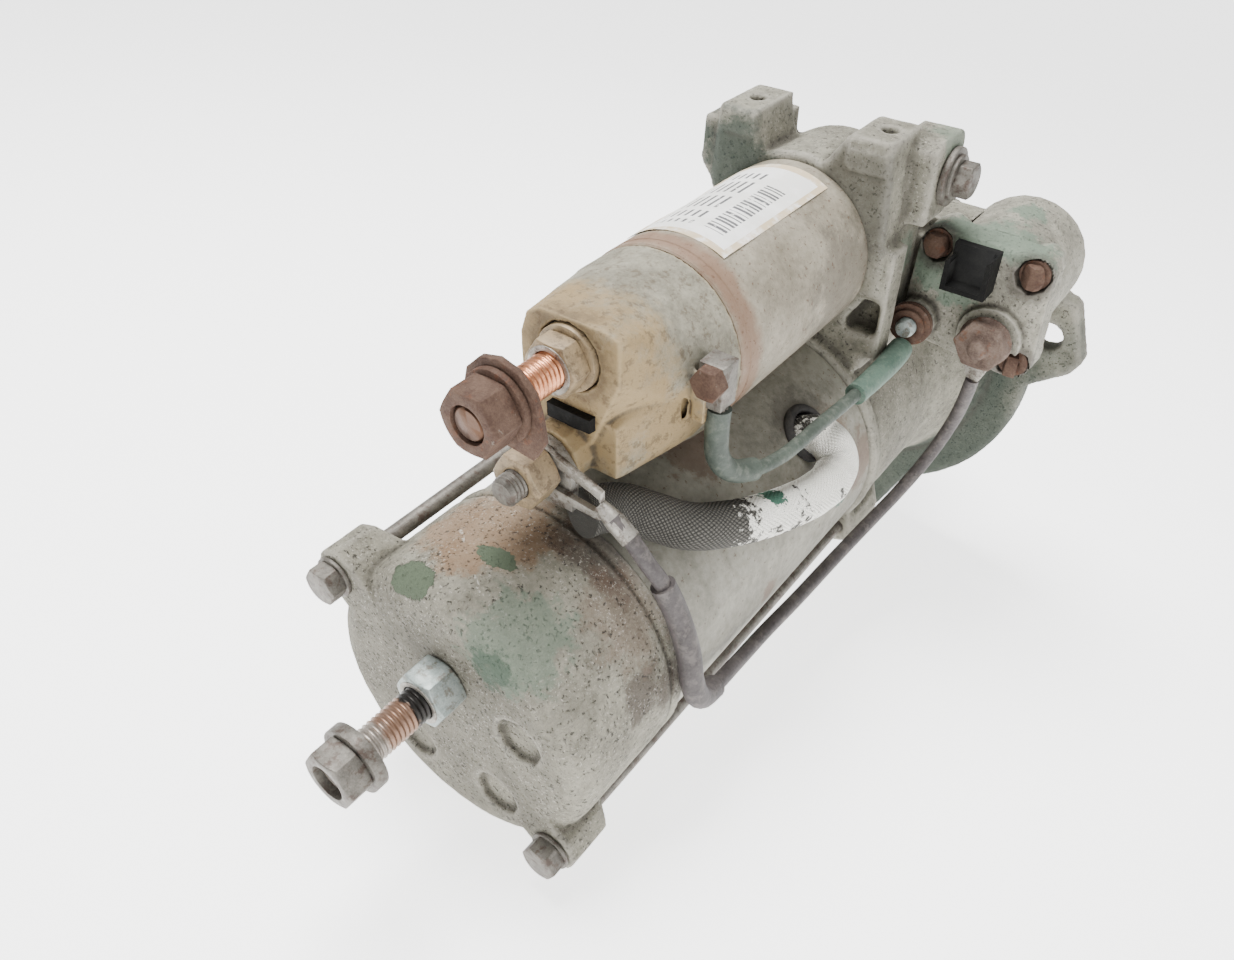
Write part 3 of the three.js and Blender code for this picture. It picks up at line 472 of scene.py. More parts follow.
def rear_casting():
    finish = Finish("rear_casting", 0.2, 0.35)
    colour = spread(finish, (0.14, 0.13, 0.099), (0.315, 0.3, 0.236), 18)
    # Painted shade: the rear face and the rim next to it are darkened as the shaded side.
    colour = over(finish, colour, finish.patch((-7, 0, 0), 9.5, 0.1, 5, (1, 9, 9)), 0.55, (0.10, 0.092, 0.07))
    stain = finish.either(
        finish.patch((34, 18, 50), 17, 0.35, 14), finish.patch((40, 0, 54), 16, 0.35, 12),
        finish.patch((22, 6, 53), 9, 0.45, 9),
    )
    colour = over(finish, colour, stain, 0.6, TAN)
    smudge = finish.either(
        finish.patch((50, -21, 49), 14, 0.3, 12, (0.8, 1.3, 1)), finish.patch((37, -52, 15), 9, 0.35, 8),
        finish.patch((48, -53, 8), 8, 0.35, 7),
    )
    colour = over(finish, colour, smudge, 0.72, (0.06, 0.042, 0.032))
    colour = over(finish, colour, finish.patch((44, -40, 36), 15, 0.4, 9), 0.35, (0.20, 0.12, 0.08))
    colour, pits = salt_and_pepper(finish, colour)
    # Edges lightened with rubbed wear and a painted highlight, hollows darkened with grime and painted shade.
    colour = over(finish, colour, finish.worn_and_highlit_edges(0.515), 0.35, (0.40, 0.38, 0.33))
    colour = over(finish, colour, finish.grime_and_shade_in_hollows(), 0.7, (0.035, 0.03, 0.023))
    worn_paint = finish.patch((9, -26, 46), 14, 0.42, 7, (1.2, 1.1, 1), 0.2)
    colour = over(finish, colour, worn_paint, 0.6, PALE_GREEN)
    colour = over(finish, colour, finish.patch((2, -22, 38), 7, 0.35, 5), 0.7, SEA_GREEN)
    flakes = finish.either(
        finish.patch((6, 15, 51), 7.5, 0.16, 5, (0.8, 1.3, 1), 0.03),
        finish.patch((26, -3, 54), 6.5, 0.2, 4, (0.6, 1.2, 1), 0.03),
    )
    colour = finish.blend(flakes, colour, (0.088, 0.114, 0.072))
    colour = over(finish, colour, finish.scratch((30, 17, 52), (11, -10, 54), 0.6), 0.5, (0.62, 0.6, 0.53))
    rough = finish.math("ADD", 0.58, finish.math("MULTIPLY", finish.noise(5, 4), 0.35))
    return finish.surface(
        colour, rough, (finish.noise(7, 7, 0.65), 1.3), (finish.noise(1.0, 5, 0.75), 0.5),
        (finish.math("SUBTRACT", flakes, pits), 0.35),
    )


def front_casting():
    finish = Finish("front_casting", 0.2, 0.35)
    colour = spread(finish, (0.13, 0.121, 0.093), (0.305, 0.293, 0.232), 22)
    colour, pits = salt_and_pepper(finish, colour, 0.45, 0.75)
    # Edges lightened with rubbed wear and a painted highlight.
    colour = over(finish, colour, finish.worn_and_highlit_edges(0.515), 0.45, (0.38, 0.36, 0.31))
    dark = finish.either(
        finish.patch((202, -28, 112), 22, 0.2, 9, (0.22, 1, 1)), finish.patch((232, -36, 76), 13, 0.3, 8),
    )
    colour = over(finish, colour, dark, 0.6, (0.06, 0.058, 0.046))
    green = finish.either(
        finish.patch((202, 27, 116), 20, 0.25, 8, (0.22, 1, 1)), finish.patch((214, 44, 120), 11, 0.35, 7),
        finish.patch((305, -10, -40), 110, 0.12, 26, (0.12, 1, 1)),
    )
    colour = over(finish, colour, green, 0.82, DEEP_GREEN)
    faded = finish.either(
        finish.patch((236, -46, 128), 9, 0.5, 5), finish.patch((226, -37, 88), 9, 0.5, 6),
    )
    colour = over(finish, colour, faded, 0.55, PALE_GREEN)
    # Hollows darkened with grime and painted shade.
    colour = over(finish, colour, finish.grime_and_shade_in_hollows(), 0.7, (0.035, 0.03, 0.023))
    rough = finish.math("ADD", 0.56, finish.math("MULTIPLY", finish.noise(5, 4), 0.35))
    return finish.surface(
        colour, rough, (finish.noise(9, 7, 0.65), 1.1), (finish.noise(1.0, 5, 0.75), 0.45),
        (finish.math("SUBTRACT", 1.0, pits), 0.25),
    )


def yoke_paint():
    finish = Finish("yoke_paint", 0.2, 0.45)
    colour = spread(finish, (0.165, 0.156, 0.125), (0.335, 0.322, 0.268), 30)
    rusty = finish.either(
        finish.patch((118, -52, -5), 5, 0.5, 4), finish.patch((190, -50, 12), 12, 0.45, 8),
        finish.patch((113, -16, 50), 13, 0.45, 9), finish.patch((176, -42, 31), 11, 0.45, 8),
    )
    colour = over(finish, colour, rusty, 0.6, (0.13, 0.07, 0.042))
    shade = finish.patch((163, -35, 39), 15, 0.35, 7)
    colour = over(finish, colour, shade, 0.5, (0.05, 0.04, 0.032))
    specks = finish.above(finish.noise(2.2, 5, 0.72, shift=4), 0.62, 0.03)
    colour = over(finish, colour, specks, 0.7, (0.09, 0.048, 0.03))
    green_chip = finish.patch((174, -52, 5), 5, 0.35, 4, soft=0.04)
    colour = over(finish, colour, green_chip, 0.9, (0.03, 0.10, 0.065))
    rough = finish.math("ADD", 0.44, finish.math("MULTIPLY", finish.noise(7, 5), 0.35))
    return finish.surface(
        colour, rough, (finish.noise(16, 5, 0.5), 0.5), (finish.noise(0.9, 4, 0.7), 0.18),
    )


def can_paint():
    finish = Finish("can_paint", 0.2, 0.45)
    colour = spread(finish, (0.185, 0.162, 0.118), (0.365, 0.33, 0.258), 24)
    band = finish.patch((119, 0, 88.3), 12, 0.14, 7, (0.62, 4.5, 4.5))
    colour = over(finish, colour, band, 0.7, (0.19, 0.092, 0.05))
    grime = finish.patch((186, -32, 88), 22, 0.4, 12)
    colour = over(finish, colour, grime, 0.45, (0.075, 0.065, 0.05))
    specks = finish.above(finish.noise(1.7, 5, 0.72, shift=4), 0.605, 0.03)
    colour = over(finish, colour, specks, 0.75, (0.11, 0.055, 0.032))
    rough = finish.math("ADD", 0.44, finish.math("MULTIPLY", finish.noise(6, 5), 0.35))
    return finish.surface(
        colour, rough, (finish.noise(12, 5, 0.5), 0.35), (finish.noise(0.9, 4, 0.7), 0.18),
    )


def cap_phenolic():
    """Grey next to the can, under tan dust towards the terminals."""
    finish = Finish("cap_phenolic", 0.0, 0.35)
    colour = spread(finish, (0.145, 0.133, 0.098), (0.31, 0.293, 0.228), 16)
    dusty = finish.either(
        finish.patch((64, -4, 100), 30, 0.22, 12, (0.72, 1.3, 1.1)), finish.patch((84, -24, 82), 16, 0.3, 10),
    )
    colour = over(finish, colour, dusty, 0.8, (0.29, 0.198, 0.085))
    # Painted shadow: a dark ring on the cap around the battery stud's seat nut.
    painted_shadow_ring = finish.patch((60, -5, 110), 15, 0.2, 6, (0.8, 1, 1))
    colour = over(finish, colour, painted_shadow_ring, 0.6, (0.055, 0.036, 0.022))
    streaks = finish.above(finish.noise(3.2, 6, 0.72, shift=9), 0.56, 0.05)
    colour = over(finish, colour, streaks, 0.55, (0.075, 0.048, 0.026))
    # Edges lightened with rubbed wear and a painted highlight, hollows darkened with grime and painted shade.
    colour = over(finish, colour, finish.worn_and_highlit_edges(0.52), 0.4, (0.38, 0.29, 0.16))
    colour = over(finish, colour, finish.grime_and_shade_in_hollows(0.48), 0.75, SOOT_AND_SHADE)
    rough = finish.math("ADD", 0.58, finish.math("MULTIPLY", finish.noise(4, 4), 0.3))
    return finish.surface(
        colour, rough, (finish.noise(8, 6, 0.6), 0.8), (finish.noise(0.8, 4, 0.7), 0.3),
    )


def relay_casting():
    finish = Finish("relay_casting", 0.2, 0.4)
    colour = spread(finish, (0.155, 0.147, 0.116), (0.355, 0.34, 0.275), 14)
    colour, pits = salt_and_pepper(finish, colour, 0.35, 0.7)
    # Edges lightened with rubbed wear and a painted highlight.
    colour = over(finish, colour, finish.worn_and_highlit_edges(0.515), 0.45, (0.40, 0.38, 0.33))
    green = finish.either(
        finish.patch((238, -70, 98), 20, 0.35, 5, (1, 1.2, 0.32)), finish.patch((234, -47, 80), 8, 0.45, 5),
        finish.patch((234, -60, 76), 8, 0.5, 4), finish.patch((272, -70, 96), 7, 0.5, 5),
    )
    colour = over(finish, colour, green, 0.8, PALE_GREEN)
    # Painted shade in the round recesses around the cover bolts and the small post.
    painted_recess_shade = finish.either(*[
        finish.patch((234, y, z), 9.5, 0.12, 4, (0.8, 1, 1)) for y, z in (*RELAY_BOLTS, RELAY_PIN)
    ])
    colour = over(finish, colour, painted_recess_shade, 0.7, (0.04, 0.032, 0.026))
    # Hollows darkened with grime and painted shade.
    colour = over(finish, colour, finish.grime_and_shade_in_hollows(), 0.7, (0.035, 0.03, 0.023))
    rough = finish.math("ADD", 0.54, finish.math("MULTIPLY", finish.noise(5, 4), 0.35))
    return finish.surface(
        colour, rough, (finish.noise(7, 6, 0.6), 0.9), (finish.noise(0.9, 4, 0.7), 0.35),
        (finish.math("SUBTRACT", 1.0, pits), 0.2),
    )


def rusty_steel(name="rusty_steel", low=DARK_RUST, high=(0.125, 0.078, 0.055)):
    finish = Finish(name, 0.25, 0.3)
    colour = spread(finish, low, high, 7)
    orange = finish.above(finish.noise(3.5, 5, 0.7, shift=5), 0.6, 0.05)
    colour = over(finish, colour, orange, 0.55, RUST)
    bare = finish.above(finish.noise(2.4, 5, 0.7, shift=11), 0.66, 0.03)
    colour = over(finish, colour, bare, 0.5, (0.24, 0.205, 0.175))
    rough = finish.math("ADD", 0.6, finish.math("MULTIPLY", finish.noise(3, 4), 0.3))
    return finish.surface(
        colour, rough, (finish.noise(3, 6, 0.65), 0.5), (finish.noise(0.5, 4, 0.7), 0.14),
    )


def plated_steel(name, low, high, dirt=(0.12, 0.085, 0.055), metallic=0.75):
    finish = Finish(name, metallic, 0.5)
    colour = spread(finish, low, high, 6)
    grime = finish.above(finish.noise(3.2, 5, 0.7, shift=6), 0.56, 0.07)
    colour = over(finish, colour, grime, 0.65, dirt)
    rough = finish.math("ADD", 0.34, finish.math("MULTIPLY", finish.noise(2.5, 5), 0.4))
    return finish.surface(colour, rough, (finish.noise(2.5, 5, 0.6), 0.2), (finish.noise(0.4, 3), 0.05))


def stud_copper():
    finish = Finish("stud_copper", 0.9, 0.5)
    colour = spread(finish, (0.48, 0.19, 0.09), (0.78, 0.37, 0.21), 3)
    dull = finish.above(finish.noise(4, 5, 0.7, shift=6), 0.56, 0.08)
    colour = over(finish, colour, dull, 0.6, (0.2, 0.10, 0.055))
    tip = finish.patch((19, -5, 110), 12, 0.1, 4, (1, 3, 3), 0.15)
    colour = over(finish, colour, tip, 0.96, (0.055, 0.03, 0.018))
    return finish.surface(colour, 0.33, (finish.noise(1.2, 4), 0.1))


def ground_thread():
    """Blackened next to the bracket, copper brown in the middle, grey at the tip."""
    finish = Finish("ground_thread", 0.7, 0.5)
    colour = spread(finish, (0.22, 0.19, 0.16), (0.40, 0.36, 0.32), 4)
    brown = finish.patch((-21, -1.6, 20.1), 7, 0.25, 5, (1, 3, 3))
    colour = over(finish, colour, brown, 0.75, (0.20, 0.092, 0.045))
    black = finish.patch((-10, -1.6, 20.1), 7, 0.15, 4, (1, 3, 3), 0.12)
    colour = finish.blend(black, colour, (0.02, 0.018, 0.016))
    return finish.surface(colour, 0.42, (finish.noise(1.2, 4), 0.1))


def machined_steel():
    finish = Finish("machined_steel", 0.95, 0.5)
    colour = spread(finish, (0.36, 0.35, 0.33), (0.52, 0.51, 0.49), 9)
    return finish.surface(colour, 0.32, (finish.noise(0.5, 3), 0.03))


def matt(name, low, high, roughness, size=5, deep=0.12, metallic=0.0, specular=0.4):
    finish = Finish(name, metallic, specular)
    return finish.surface(spread(finish, low, high, size), roughness, (finish.noise(size / 6, 4), deep))


def sleeve_rubber(name, low, high, dust):
    finish = Finish(name, 0.0, 0.35)
    colour = spread(finish, low, high, 12)
    powder = finish.above(finish.noise(4, 6, 0.7, shift=2), 0.56, 0.08)
    colour = over(finish, colour, powder, 0.5, dust)
    return finish.surface(colour, 0.62, (finish.noise(3, 5), 0.15), (finish.noise(0.5, 3), 0.05))


def braid(name, length, girth):
    """Woven sleeve. The weave follows the lead, and old paint flakes off it."""
    finish = Finish(name, 0.0, 0.3)
    uv = finish.nodes.new("ShaderNodeUVMap").outputs["UV"]
    split = finish.nodes.new("ShaderNodeSeparateXYZ")
    finish.links.new(uv, split.inputs[0])
    strand = 1.5
    along = finish.math("MULTIPLY", split.outputs["X"], length / strand)
    across = finish.math("MULTIPLY", split.outputs["Y"], girth / strand)
    left = finish.math("SINE", finish.math("MULTIPLY", finish.math("ADD", along, across), math.pi))
    right = finish.math("SINE", finish.math("MULTIPLY", finish.math("SUBTRACT", along, across), math.pi))
    weave = finish.math("ABSOLUTE", finish.math("MULTIPLY", left, right))
    colour = finish.blend(weave, (0.02, 0.019, 0.017), (0.135, 0.128, 0.11))
    paint = finish.either(
        finish.patch((112, -52, 42), 13, 0.5, 4, (1.3, 1, 0.8), 0.05),
        finish.patch((158, -55, 33), 20, 0.38, 5, soft=0.05),
        finish.patch((136, -56, 34), 14, 0.5, 3, soft=0.05),
    )
    colour = over(finish, colour, paint, 0.95, (0.93, 0.91, 0.83))
    green = finish.patch((114, -50, 44), 5, 0.4, 3, soft=0.05)
    colour = finish.blend(green, colour, (0.05, 0.13, 0.09))
    height = finish.math("ADD", weave, finish.math("MULTIPLY", paint, 0.5))
    return finish.surface(colour, 0.75, (height, 0.45), (finish.noise(0.7, 4), 0.08))


def paper_label():
    """White paper with grey bars where a label has print. It carries no lettering."""
    finish = Finish("paper_label", 0.0, 0.4)
    uv = finish.nodes.new("ShaderNodeUVMap").outputs["UV"]
    split = finish.nodes.new("ShaderNodeSeparateXYZ")
    finish.links.new(uv, split.inputs[0])
    u, v = split.outputs["X"], split.outputs["Y"]

    def between(value, low, high):
        return finish.math(
            "MULTIPLY", finish.math("GREATER_THAN", value, low), finish.math("LESS_THAN", value, high)
        )

    def wave(value, count):
        return finish.math("SINE", finish.math("MULTIPLY", value, count * 2 * math.pi))

    stripes = finish.math("ADD", wave(u, 31), finish.math("MULTIPLY", wave(u, 13), 0.8))
    stripes = finish.math("GREATER_THAN", stripes, 0.1)
    code = finish.math("MULTIPLY", between(u, 0.12, 0.72), between(v, 0.64, 0.83))
    rows = finish.math("GREATER_THAN", wave(v, 14), 0.35)
    words = finish.math("GREATER_THAN", finish.math("ADD", wave(u, 9), wave(u, 5.3)), -0.5)
    lines = finish.math("MULTIPLY", finish.math("MULTIPLY", rows, words), between(v, 0.16, 0.56))
    lines = finish.math("MULTIPLY", lines, between(u, 0.12, 0.88))
    ink = finish.either(finish.math("MULTIPLY", stripes, code), lines)
    paper = finish.blend(finish.above(finish.noise(12, 5), 0.52, 0.1), (0.80, 0.79, 0.75), (0.90, 0.89, 0.87))
    worn = finish.above(finish.noise(3, 5, shift=3), 0.38, 0.05)
    printed = finish.math("MULTIPLY", ink, worn)
    colour = over(finish, paper, printed, 0.95, (0.07, 0.07, 0.075))
    middle = finish.math("MULTIPLY", between(u, 0.05, 0.95), between(v, 0.06, 0.94))
    margin = finish.math("SUBTRACT", 1.0, middle)
    aged = finish.math("MULTIPLY", margin, finish.above(finish.noise(5, 5, shift=8), 0.42, 0.12))
    colour = over(finish, colour, aged, 0.75, (0.52, 0.37, 0.17))
    return finish.surface(colour, 0.5, (finish.noise(7, 4), 0.15))


FINISHES = {
    "rear": rear_casting(),
    "front": front_casting(),
    "yoke": yoke_paint(),
    "can": can_paint(),
    "cap": cap_phenolic(),
    "relay": relay_casting(),
    "rust": rusty_steel(),
    "flaky_rust": rusty_steel("flaky_rust", (0.07, 0.045, 0.035), (0.19, 0.14, 0.112)),
    "zinc": plated_steel("zinc", (0.20, 0.235, 0.225), (0.40, 0.44, 0.42)),
    "grey_steel": plated_steel("grey_steel", (0.085, 0.078, 0.066), (0.20, 0.185, 0.16), DARK_RUST, 0.5),
    "bare_steel": plated_steel("bare_steel", (0.20, 0.185, 0.155), (0.44, 0.42, 0.38), DARK_RUST, 0.8),
    "dusty_nut": plated_steel(
        "dusty_nut", (0.19, 0.14, 0.082), (0.33, 0.245, 0.14), (0.075, 0.05, 0.03), 0.25
    ),
    "copper": stud_copper(),
    "ground": ground_thread(),
    "steel": machined_steel(),
    "black": matt("black_plastic", (0.004, 0.004, 0.004), (0.011, 0.011, 0.01), 0.7, specular=0.12),
    "carbon": matt("carbon", (0.02, 0.02, 0.02), (0.05, 0.05, 0.05), 0.6),
    "winding": matt("winding", (0.22, 0.08, 0.03), (0.38, 0.16, 0.06), 0.3, 2),
    "brass": matt("brass", (0.42, 0.31, 0.13), (0.58, 0.45, 0.22), 0.35, 8, 0.05, 0.9),
    "dark_steel": matt("dark_steel", (0.07, 0.066, 0.06), (0.16, 0.15, 0.14), 0.5, 8, 0.1, 0.8),
    "grommet": matt("grommet_rubber", (0.02, 0.02, 0.02), (0.06, 0.055, 0.05), 0.7),
    "side_sleeve": sleeve_rubber(
        "side_sleeve", (0.045, 0.038, 0.038), (0.10, 0.088, 0.086), (0.17, 0.15, 0.135)
    ),
    "green_sleeve": sleeve_rubber(
        "green_sleeve", (0.036, 0.046, 0.037), (0.078, 0.096, 0.078), (0.14, 0.155, 0.125)
    ),
    "boot": sleeve_rubber("boot", (0.06, 0.10, 0.077), (0.115, 0.175, 0.135), (0.17, 0.22, 0.175)),
    "label": paper_label(),
}

INNER_FINISH = {
    "turned_steel": "steel", "dark_steel": "dark_steel", "laminations": "grey_steel", "copper": "copper",
    "winding": "winding", "brass": "brass", "carbon": "carbon",
}


def dress(piece, finish):
    piece.data.materials.clear()
    piece.data.materials.append(FINISHES[finish])
    return piece


def stands_for(piece, node, finish):
    """Finished look of one CAD node."""
    dress(piece, finish)
    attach(piece, BODIES[node])
    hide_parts(node)
    return piece


def extra(piece, finish, body="housing"):
    """A small piece that the frame leaves to the looks."""
    dress(piece, finish)
    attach(piece, body)
    return piece


# ---------------------------------------------------------------- motor


def rear_bracket():
    round_shell = lathe("round_shell", [
        (0, 43), (0, 45), (1.2, 48.6), (3.6, 51.6), (7, 53.5), (11, BRACKET_R), (50, BRACKET_R),
        (50.6, 53), (52.4, 53), (53, BRACKET_R), (BRACKET_END, BRACKET_R), (BRACKET_END, 48.2),
        (9, 48.2), (9, 43),
    ], steps=MAIN_ROUND)
    bracket = joined("rear_bracket_casting", cad_copy("rear_bracket"), round_shell)
    stands_for(cast_skin(bracket, 1.0, 4, 0.35), "rear_bracket", "rear")


def lead_hole_way():
    angle = math.radians(LEAD_HOLE[1])
    return (0, math.cos(angle), math.sin(angle))


def grommet():
    """Rubber ring in the yoke where the braided lead goes in."""
    ring = lathe("lead_grommet", [
        (49, 8.2), (49, 9.2), (51.2, 9.2), (51.2, 11.4), (53, 11.8), (54.4, 10.8), (54.8, 9.2), (54.2, 8.2),
    ])
    extra(soften(aim(ring, at(LEAD_HOLE[0]), lead_hole_way()), 0.3), "grommet")


def brush_springs():
    """One coil behind each brush, pressing it towards the commutator."""
    coils, first, last, radius, middle = 5, 34.4, 45.5, 2.6, 39.5
    steps = coils * 10
    for index, degrees in enumerate(BRUSH_ANGLES, 1):
        out = math.radians(degrees)
        route = []
        for step in range(steps + 1):
            turn = 2 * math.pi * coils * step / steps
            reach = first + (last - first) * step / steps
            side = radius * math.sin(turn)
            route.append((
                middle + radius * math.cos(turn),
                reach * math.cos(out) - side * math.sin(out), reach * math.sin(out) + side * math.cos(out),
            ))
        extra(lead(f"brush_spring_{index}", route, 0.45, 2), "steel")


def yoke():
    tube = lathe("yoke_tube", [
        (BRACKET_END + 0.3, 47.5), (BRACKET_END + 0.3, YOKE_R - 0.6), (BRACKET_END + 0.9, YOKE_R),
        (199.4, YOKE_R), (200, YOKE_R - 0.6), (200, 47.5),
    ], steps=MAIN_ROUND)
    cut(tube, aim(cylinder("lead_hole", 9.4, 40, 60, (0, 0)), at(LEAD_HOLE[0]), lead_hole_way()))
    bpy.ops.object.shade_smooth_by_angle(angle=math.radians(35))
    stands_for(tube, "yoke", "yoke")


def through_bolts():
    for node, centre in zip(("through_bolt_upper", "through_bolt_lower"), BOLTS):
        head = nut(node + "_head", 12, -7.4, -1.5, centre)
        flange = washer(node + "_flange", 7.4, 2.5, -1.6, -0.3, centre)
        shank = cylinder(node + "_shank", 3, -0.4, 224, centre, 32)
        bolt = joined(node + "_bolt", head, flange, shank)
        stands_for(bolt, node, "grey_steel")


def ground_terminal():
    stands_for(stud("ground_thread_stud", 6, -45, 7.5, GROUND, thread_end=-1), "ground_stud", "ground")
    stands_for(nut("ground_seat_nut", 18, -11.6, -0.3, GROUND, 6.1), "ground_base_nut", "zinc")
    hexagon = nut("ground_hexagon", 18, -47.5, -38.6, GROUND, 6.1)
    flange = washer("ground_flange", 11.4, 6.1, -38.7, -34.4, GROUND)
    stands_for(joined("ground_flanged_nut", hexagon, flange), "ground_end_nut", "grey_steel")


# ---------------------------------------------------------------- front bracket


def lever_window(piece):
    """Opens the two slots that the shift lever swings in."""
    cut(piece, block("lower_slot", (224, -33, 0), (264, 33, 62)))
    return cut(piece, block("upper_slot", (224, -15, 55), (258, 15, 88.3)))


def front_bracket():
    barrel = lathe("round_barrel", [
        (200.3, 48), (200.3, 54.6), (206, 54.6), (206, 53.4), (262, 53.4), (288, 60), (300, 66),
        (300, 83.8), (311, 83.8), (311, 48),
    ], steps=MAIN_ROUND)
    nose = lathe("round_nose", [
        (204.9, 34.4), (204.9, 36.6), (246, 35), (250, 33), (250, 26), (206, 26), (206, 34.4),
    ], SOLENOID, MAIN_ROUND)
    left_band = block("left_band", (201.4, 18.5, 128), (204, 36, 136.4))
    right_band = block("right_band", (201.4, -36, 125.5), (204, -19, 133))
    bracket = joined(
        "front_bracket_casting", cad_copy("front_bracket"), lever_window(barrel), lever_window(nose),
        left_band, right_band,
    )
    stands_for(cast_skin(bracket, 1.4, 3, 0.4), "front_bracket", "front")


def clamp_bolt():
    """Made along X, outwards from the face of its boss, then turned to point to the right."""
    centre = (0, 0)
    head = nut("clamp_hexagon", 12, 4, 10, centre)
    flange = washer("clamp_flange", 8.6, 2.9, 2.5, 4.2, centre)
    disc = washer("clamp_washer", 11, 2.9, 0.3, 2.6, centre)
    shank = cylinder("clamp_shank", 3, -6, 2, centre, 32)
    bolt = joined("clamp_bolt_set", head, flange, disc, shank)
    stands_for(aim(bolt, at(*CLAMP), (0, -1, 0)), "clamp_bolt", "grey_steel")


# ---------------------------------------------------------------- solenoid


def solenoid_can():
    can = lathe("solenoid_shell", [
        (CAN_START, 30.6), (CAN_START, 33.2), (114.2, SOLENOID_R), (117, SOLENOID_R), (117.4, 33.4),
        (118.6, 33.4), (119, SOLENOID_R), (CAN_END - 0.6, SOLENOID_R), (CAN_END, 33.2),
        (CAN_END, 13.2), (198, 13.2), (198, 30.6),
    ], SOLENOID, MAIN_ROUND)
    bpy.ops.object.shade_smooth_by_angle(angle=math.radians(35))
    stands_for(can, "solenoid_can", "can")


def solenoid_cap():
    below_terminal = block("below_terminal", (87.4, -36, 83.4), (100.4, -31, 89.2))
    behind_terminal = block("behind_terminal", (87.4, -36, 83.4), (88.9, -31, 101.4))
    walls = lathe("side_walls", [(84.5, 23), (84.5, 25.2), (97, 30.6), (97, 28.4)], SOLENOID, MAIN_ROUND)
    cut(walls, block("between_walls", (80, -14, 40), (100, 14, 130)))
    cap = joined("solenoid_end_cap", cad_copy("solenoid_cap"), below_terminal, behind_terminal, walls)
    stands_for(cast_skin(cap, 0.7, 4, 0.25), "solenoid_cap", "cap")


def return_spring():
    """Three coils between the fixed core and the plunger, pressed together when the plunger pulls in."""
    coils, start, end, radius = 3, 146.2, 158.4, 9.6
    steps = coils * 12
    route = []
    for step in range(steps + 1):
        turn = 2 * math.pi * coils * step / steps
        x = start + (end - start) * step / steps
        route.append((x, radius * math.cos(turn), SOLENOID[1] + radius * math.sin(turn)))
    spring = lead("return_spring_coil", route, 0.7, 3)
    stands_for(spring, "return_spring", "steel")
    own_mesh(spring)


def label():
    first, last = math.radians(48), math.radians(118)
    columns, rows = 36, 40
    start, end = 126, 197
    deselect()
    bpy.ops.mesh.primitive_grid_add(x_subdivisions=columns, y_subdivisions=rows, size=1)
    sheet = bpy.context.object
    uv = sheet.data.uv_layers.active or sheet.data.uv_layers.new(name="UVMap")
    for loop in sheet.data.loops:
        spot = sheet.data.vertices[loop.vertex_index].co
        uv.data[loop.index].uv = (spot.x + 0.5, spot.y + 0.5)
    for vertex in sheet.data.vertices:
        u, v = vertex.co.x + 0.5, vertex.co.y + 0.5
        rim = max(abs(u - 0.5), abs(v - 0.5)) * 2
        lift = 0.12 + 0.45 * max(0, rim - 0.93) / 0.07 * (0.5 + 0.5 * math.sin(9 * u + 7 * v))
        angle = first + (last - first) * v
        radius = SOLENOID_R + lift
        vertex.co = at(
            start + (end - start) * u, radius * math.cos(angle), SOLENOID[1] + radius * math.sin(angle)
        )
    settle(sheet, "solenoid_label")
    thick = sheet.modifiers.new("paper", "SOLIDIFY")
    thick.thickness = 0.1 * MM
    thick.offset = 1
    apply_all(sheet)
    bpy.ops.object.mode_set(mode="EDIT")
    bpy.ops.mesh.select_all(action="SELECT")
    bpy.ops.mesh.normals_make_consistent(inside=False)
    bpy.ops.object.mode_set(mode="OBJECT")
    bpy.ops.object.shade_smooth_by_angle(angle=math.radians(40))
    extra(sheet, "label")


def solenoid_terminals():
    stands_for(stud("battery_thread_stud", 6, 17.6, 88, BATTERY, thread_end=58), "battery_stud", "copper")
    hexagon = nut("battery_seat_hexagon", 17, 51, 58.6, BATTERY, 6.1)
    flange = washer("battery_seat_flange", 10.8, 6.1, 58.5, 62.7, BATTERY)
    stands_for(joined("battery_seat_nut", hexagon, flange), "battery_base_nut", "dusty_nut")
    hexagon = nut("battery_hexagon", 19, 17.2, 28, BATTERY, 6.1)
    flange = washer("battery_flange", 11.6, 6.1, 27.9, 30.2, BATTERY)
    stands_for(joined("battery_flanged_nut", hexagon, flange), "battery_end_nut", "rust")
    stands_for(soften(cad_copy("battery_lug"), 0.3), "battery_lug", "rust")
    stands_for(stud("motor_thread_stud", 5, 30, 88, MOTOR, 1.5, 60), "motor_stud", "grey_steel")
    stands_for(nut("motor_nut", 17, 36.2, 46.5, MOTOR, 5.1), "motor_stud_nut", "dusty_nut")
    plate = soften(block("signal_plate", (88.6, -41, 89), (97.5, -32, 105)), 0.5)
    stands_for(plate, "signal_terminal", "grey_steel")
    extra(nut("signal_screw", 10, 84, 88.8, (-37.5, 100)), "rust")
    for name, centre, face in (("battery", BATTERY, 50.9), ("ground", GROUND, -11.7)):
        bright = washer(f"{name}_seat_rim", 7.9, 6.15, face - 0.25, face + 0.4, centre)
        extra(bright, "bare_steel")
    torn = cast_skin(block("torn_rubber_seal", (57, -15, 87.5), (69, 2, 93)), 0.5, 3, 0.9)
    extra(torn, "black")


# ---------------------------------------------------------------- relay


def broken_socket():
    """The half of the plug socket that is left, with a jagged rim."""
    socket = cad_copy("relay_socket")
    for y, depth in ((-71, 4), (-66.5, 9), (-62, 5.5), (-58, 8)):
        notch = block("notch", (-6, -2.6, -depth), (6, 2.6, depth))
        slant = Matrix.Rotation(NOTCH_SLANT, 4, "X")
        notch.data.transform(Matrix.Translation(at(223, y, 97)) @ slant @ Matrix.Translation(-at(0)))
        cut(socket, notch)
    return soften(socket, 0.35, 3)


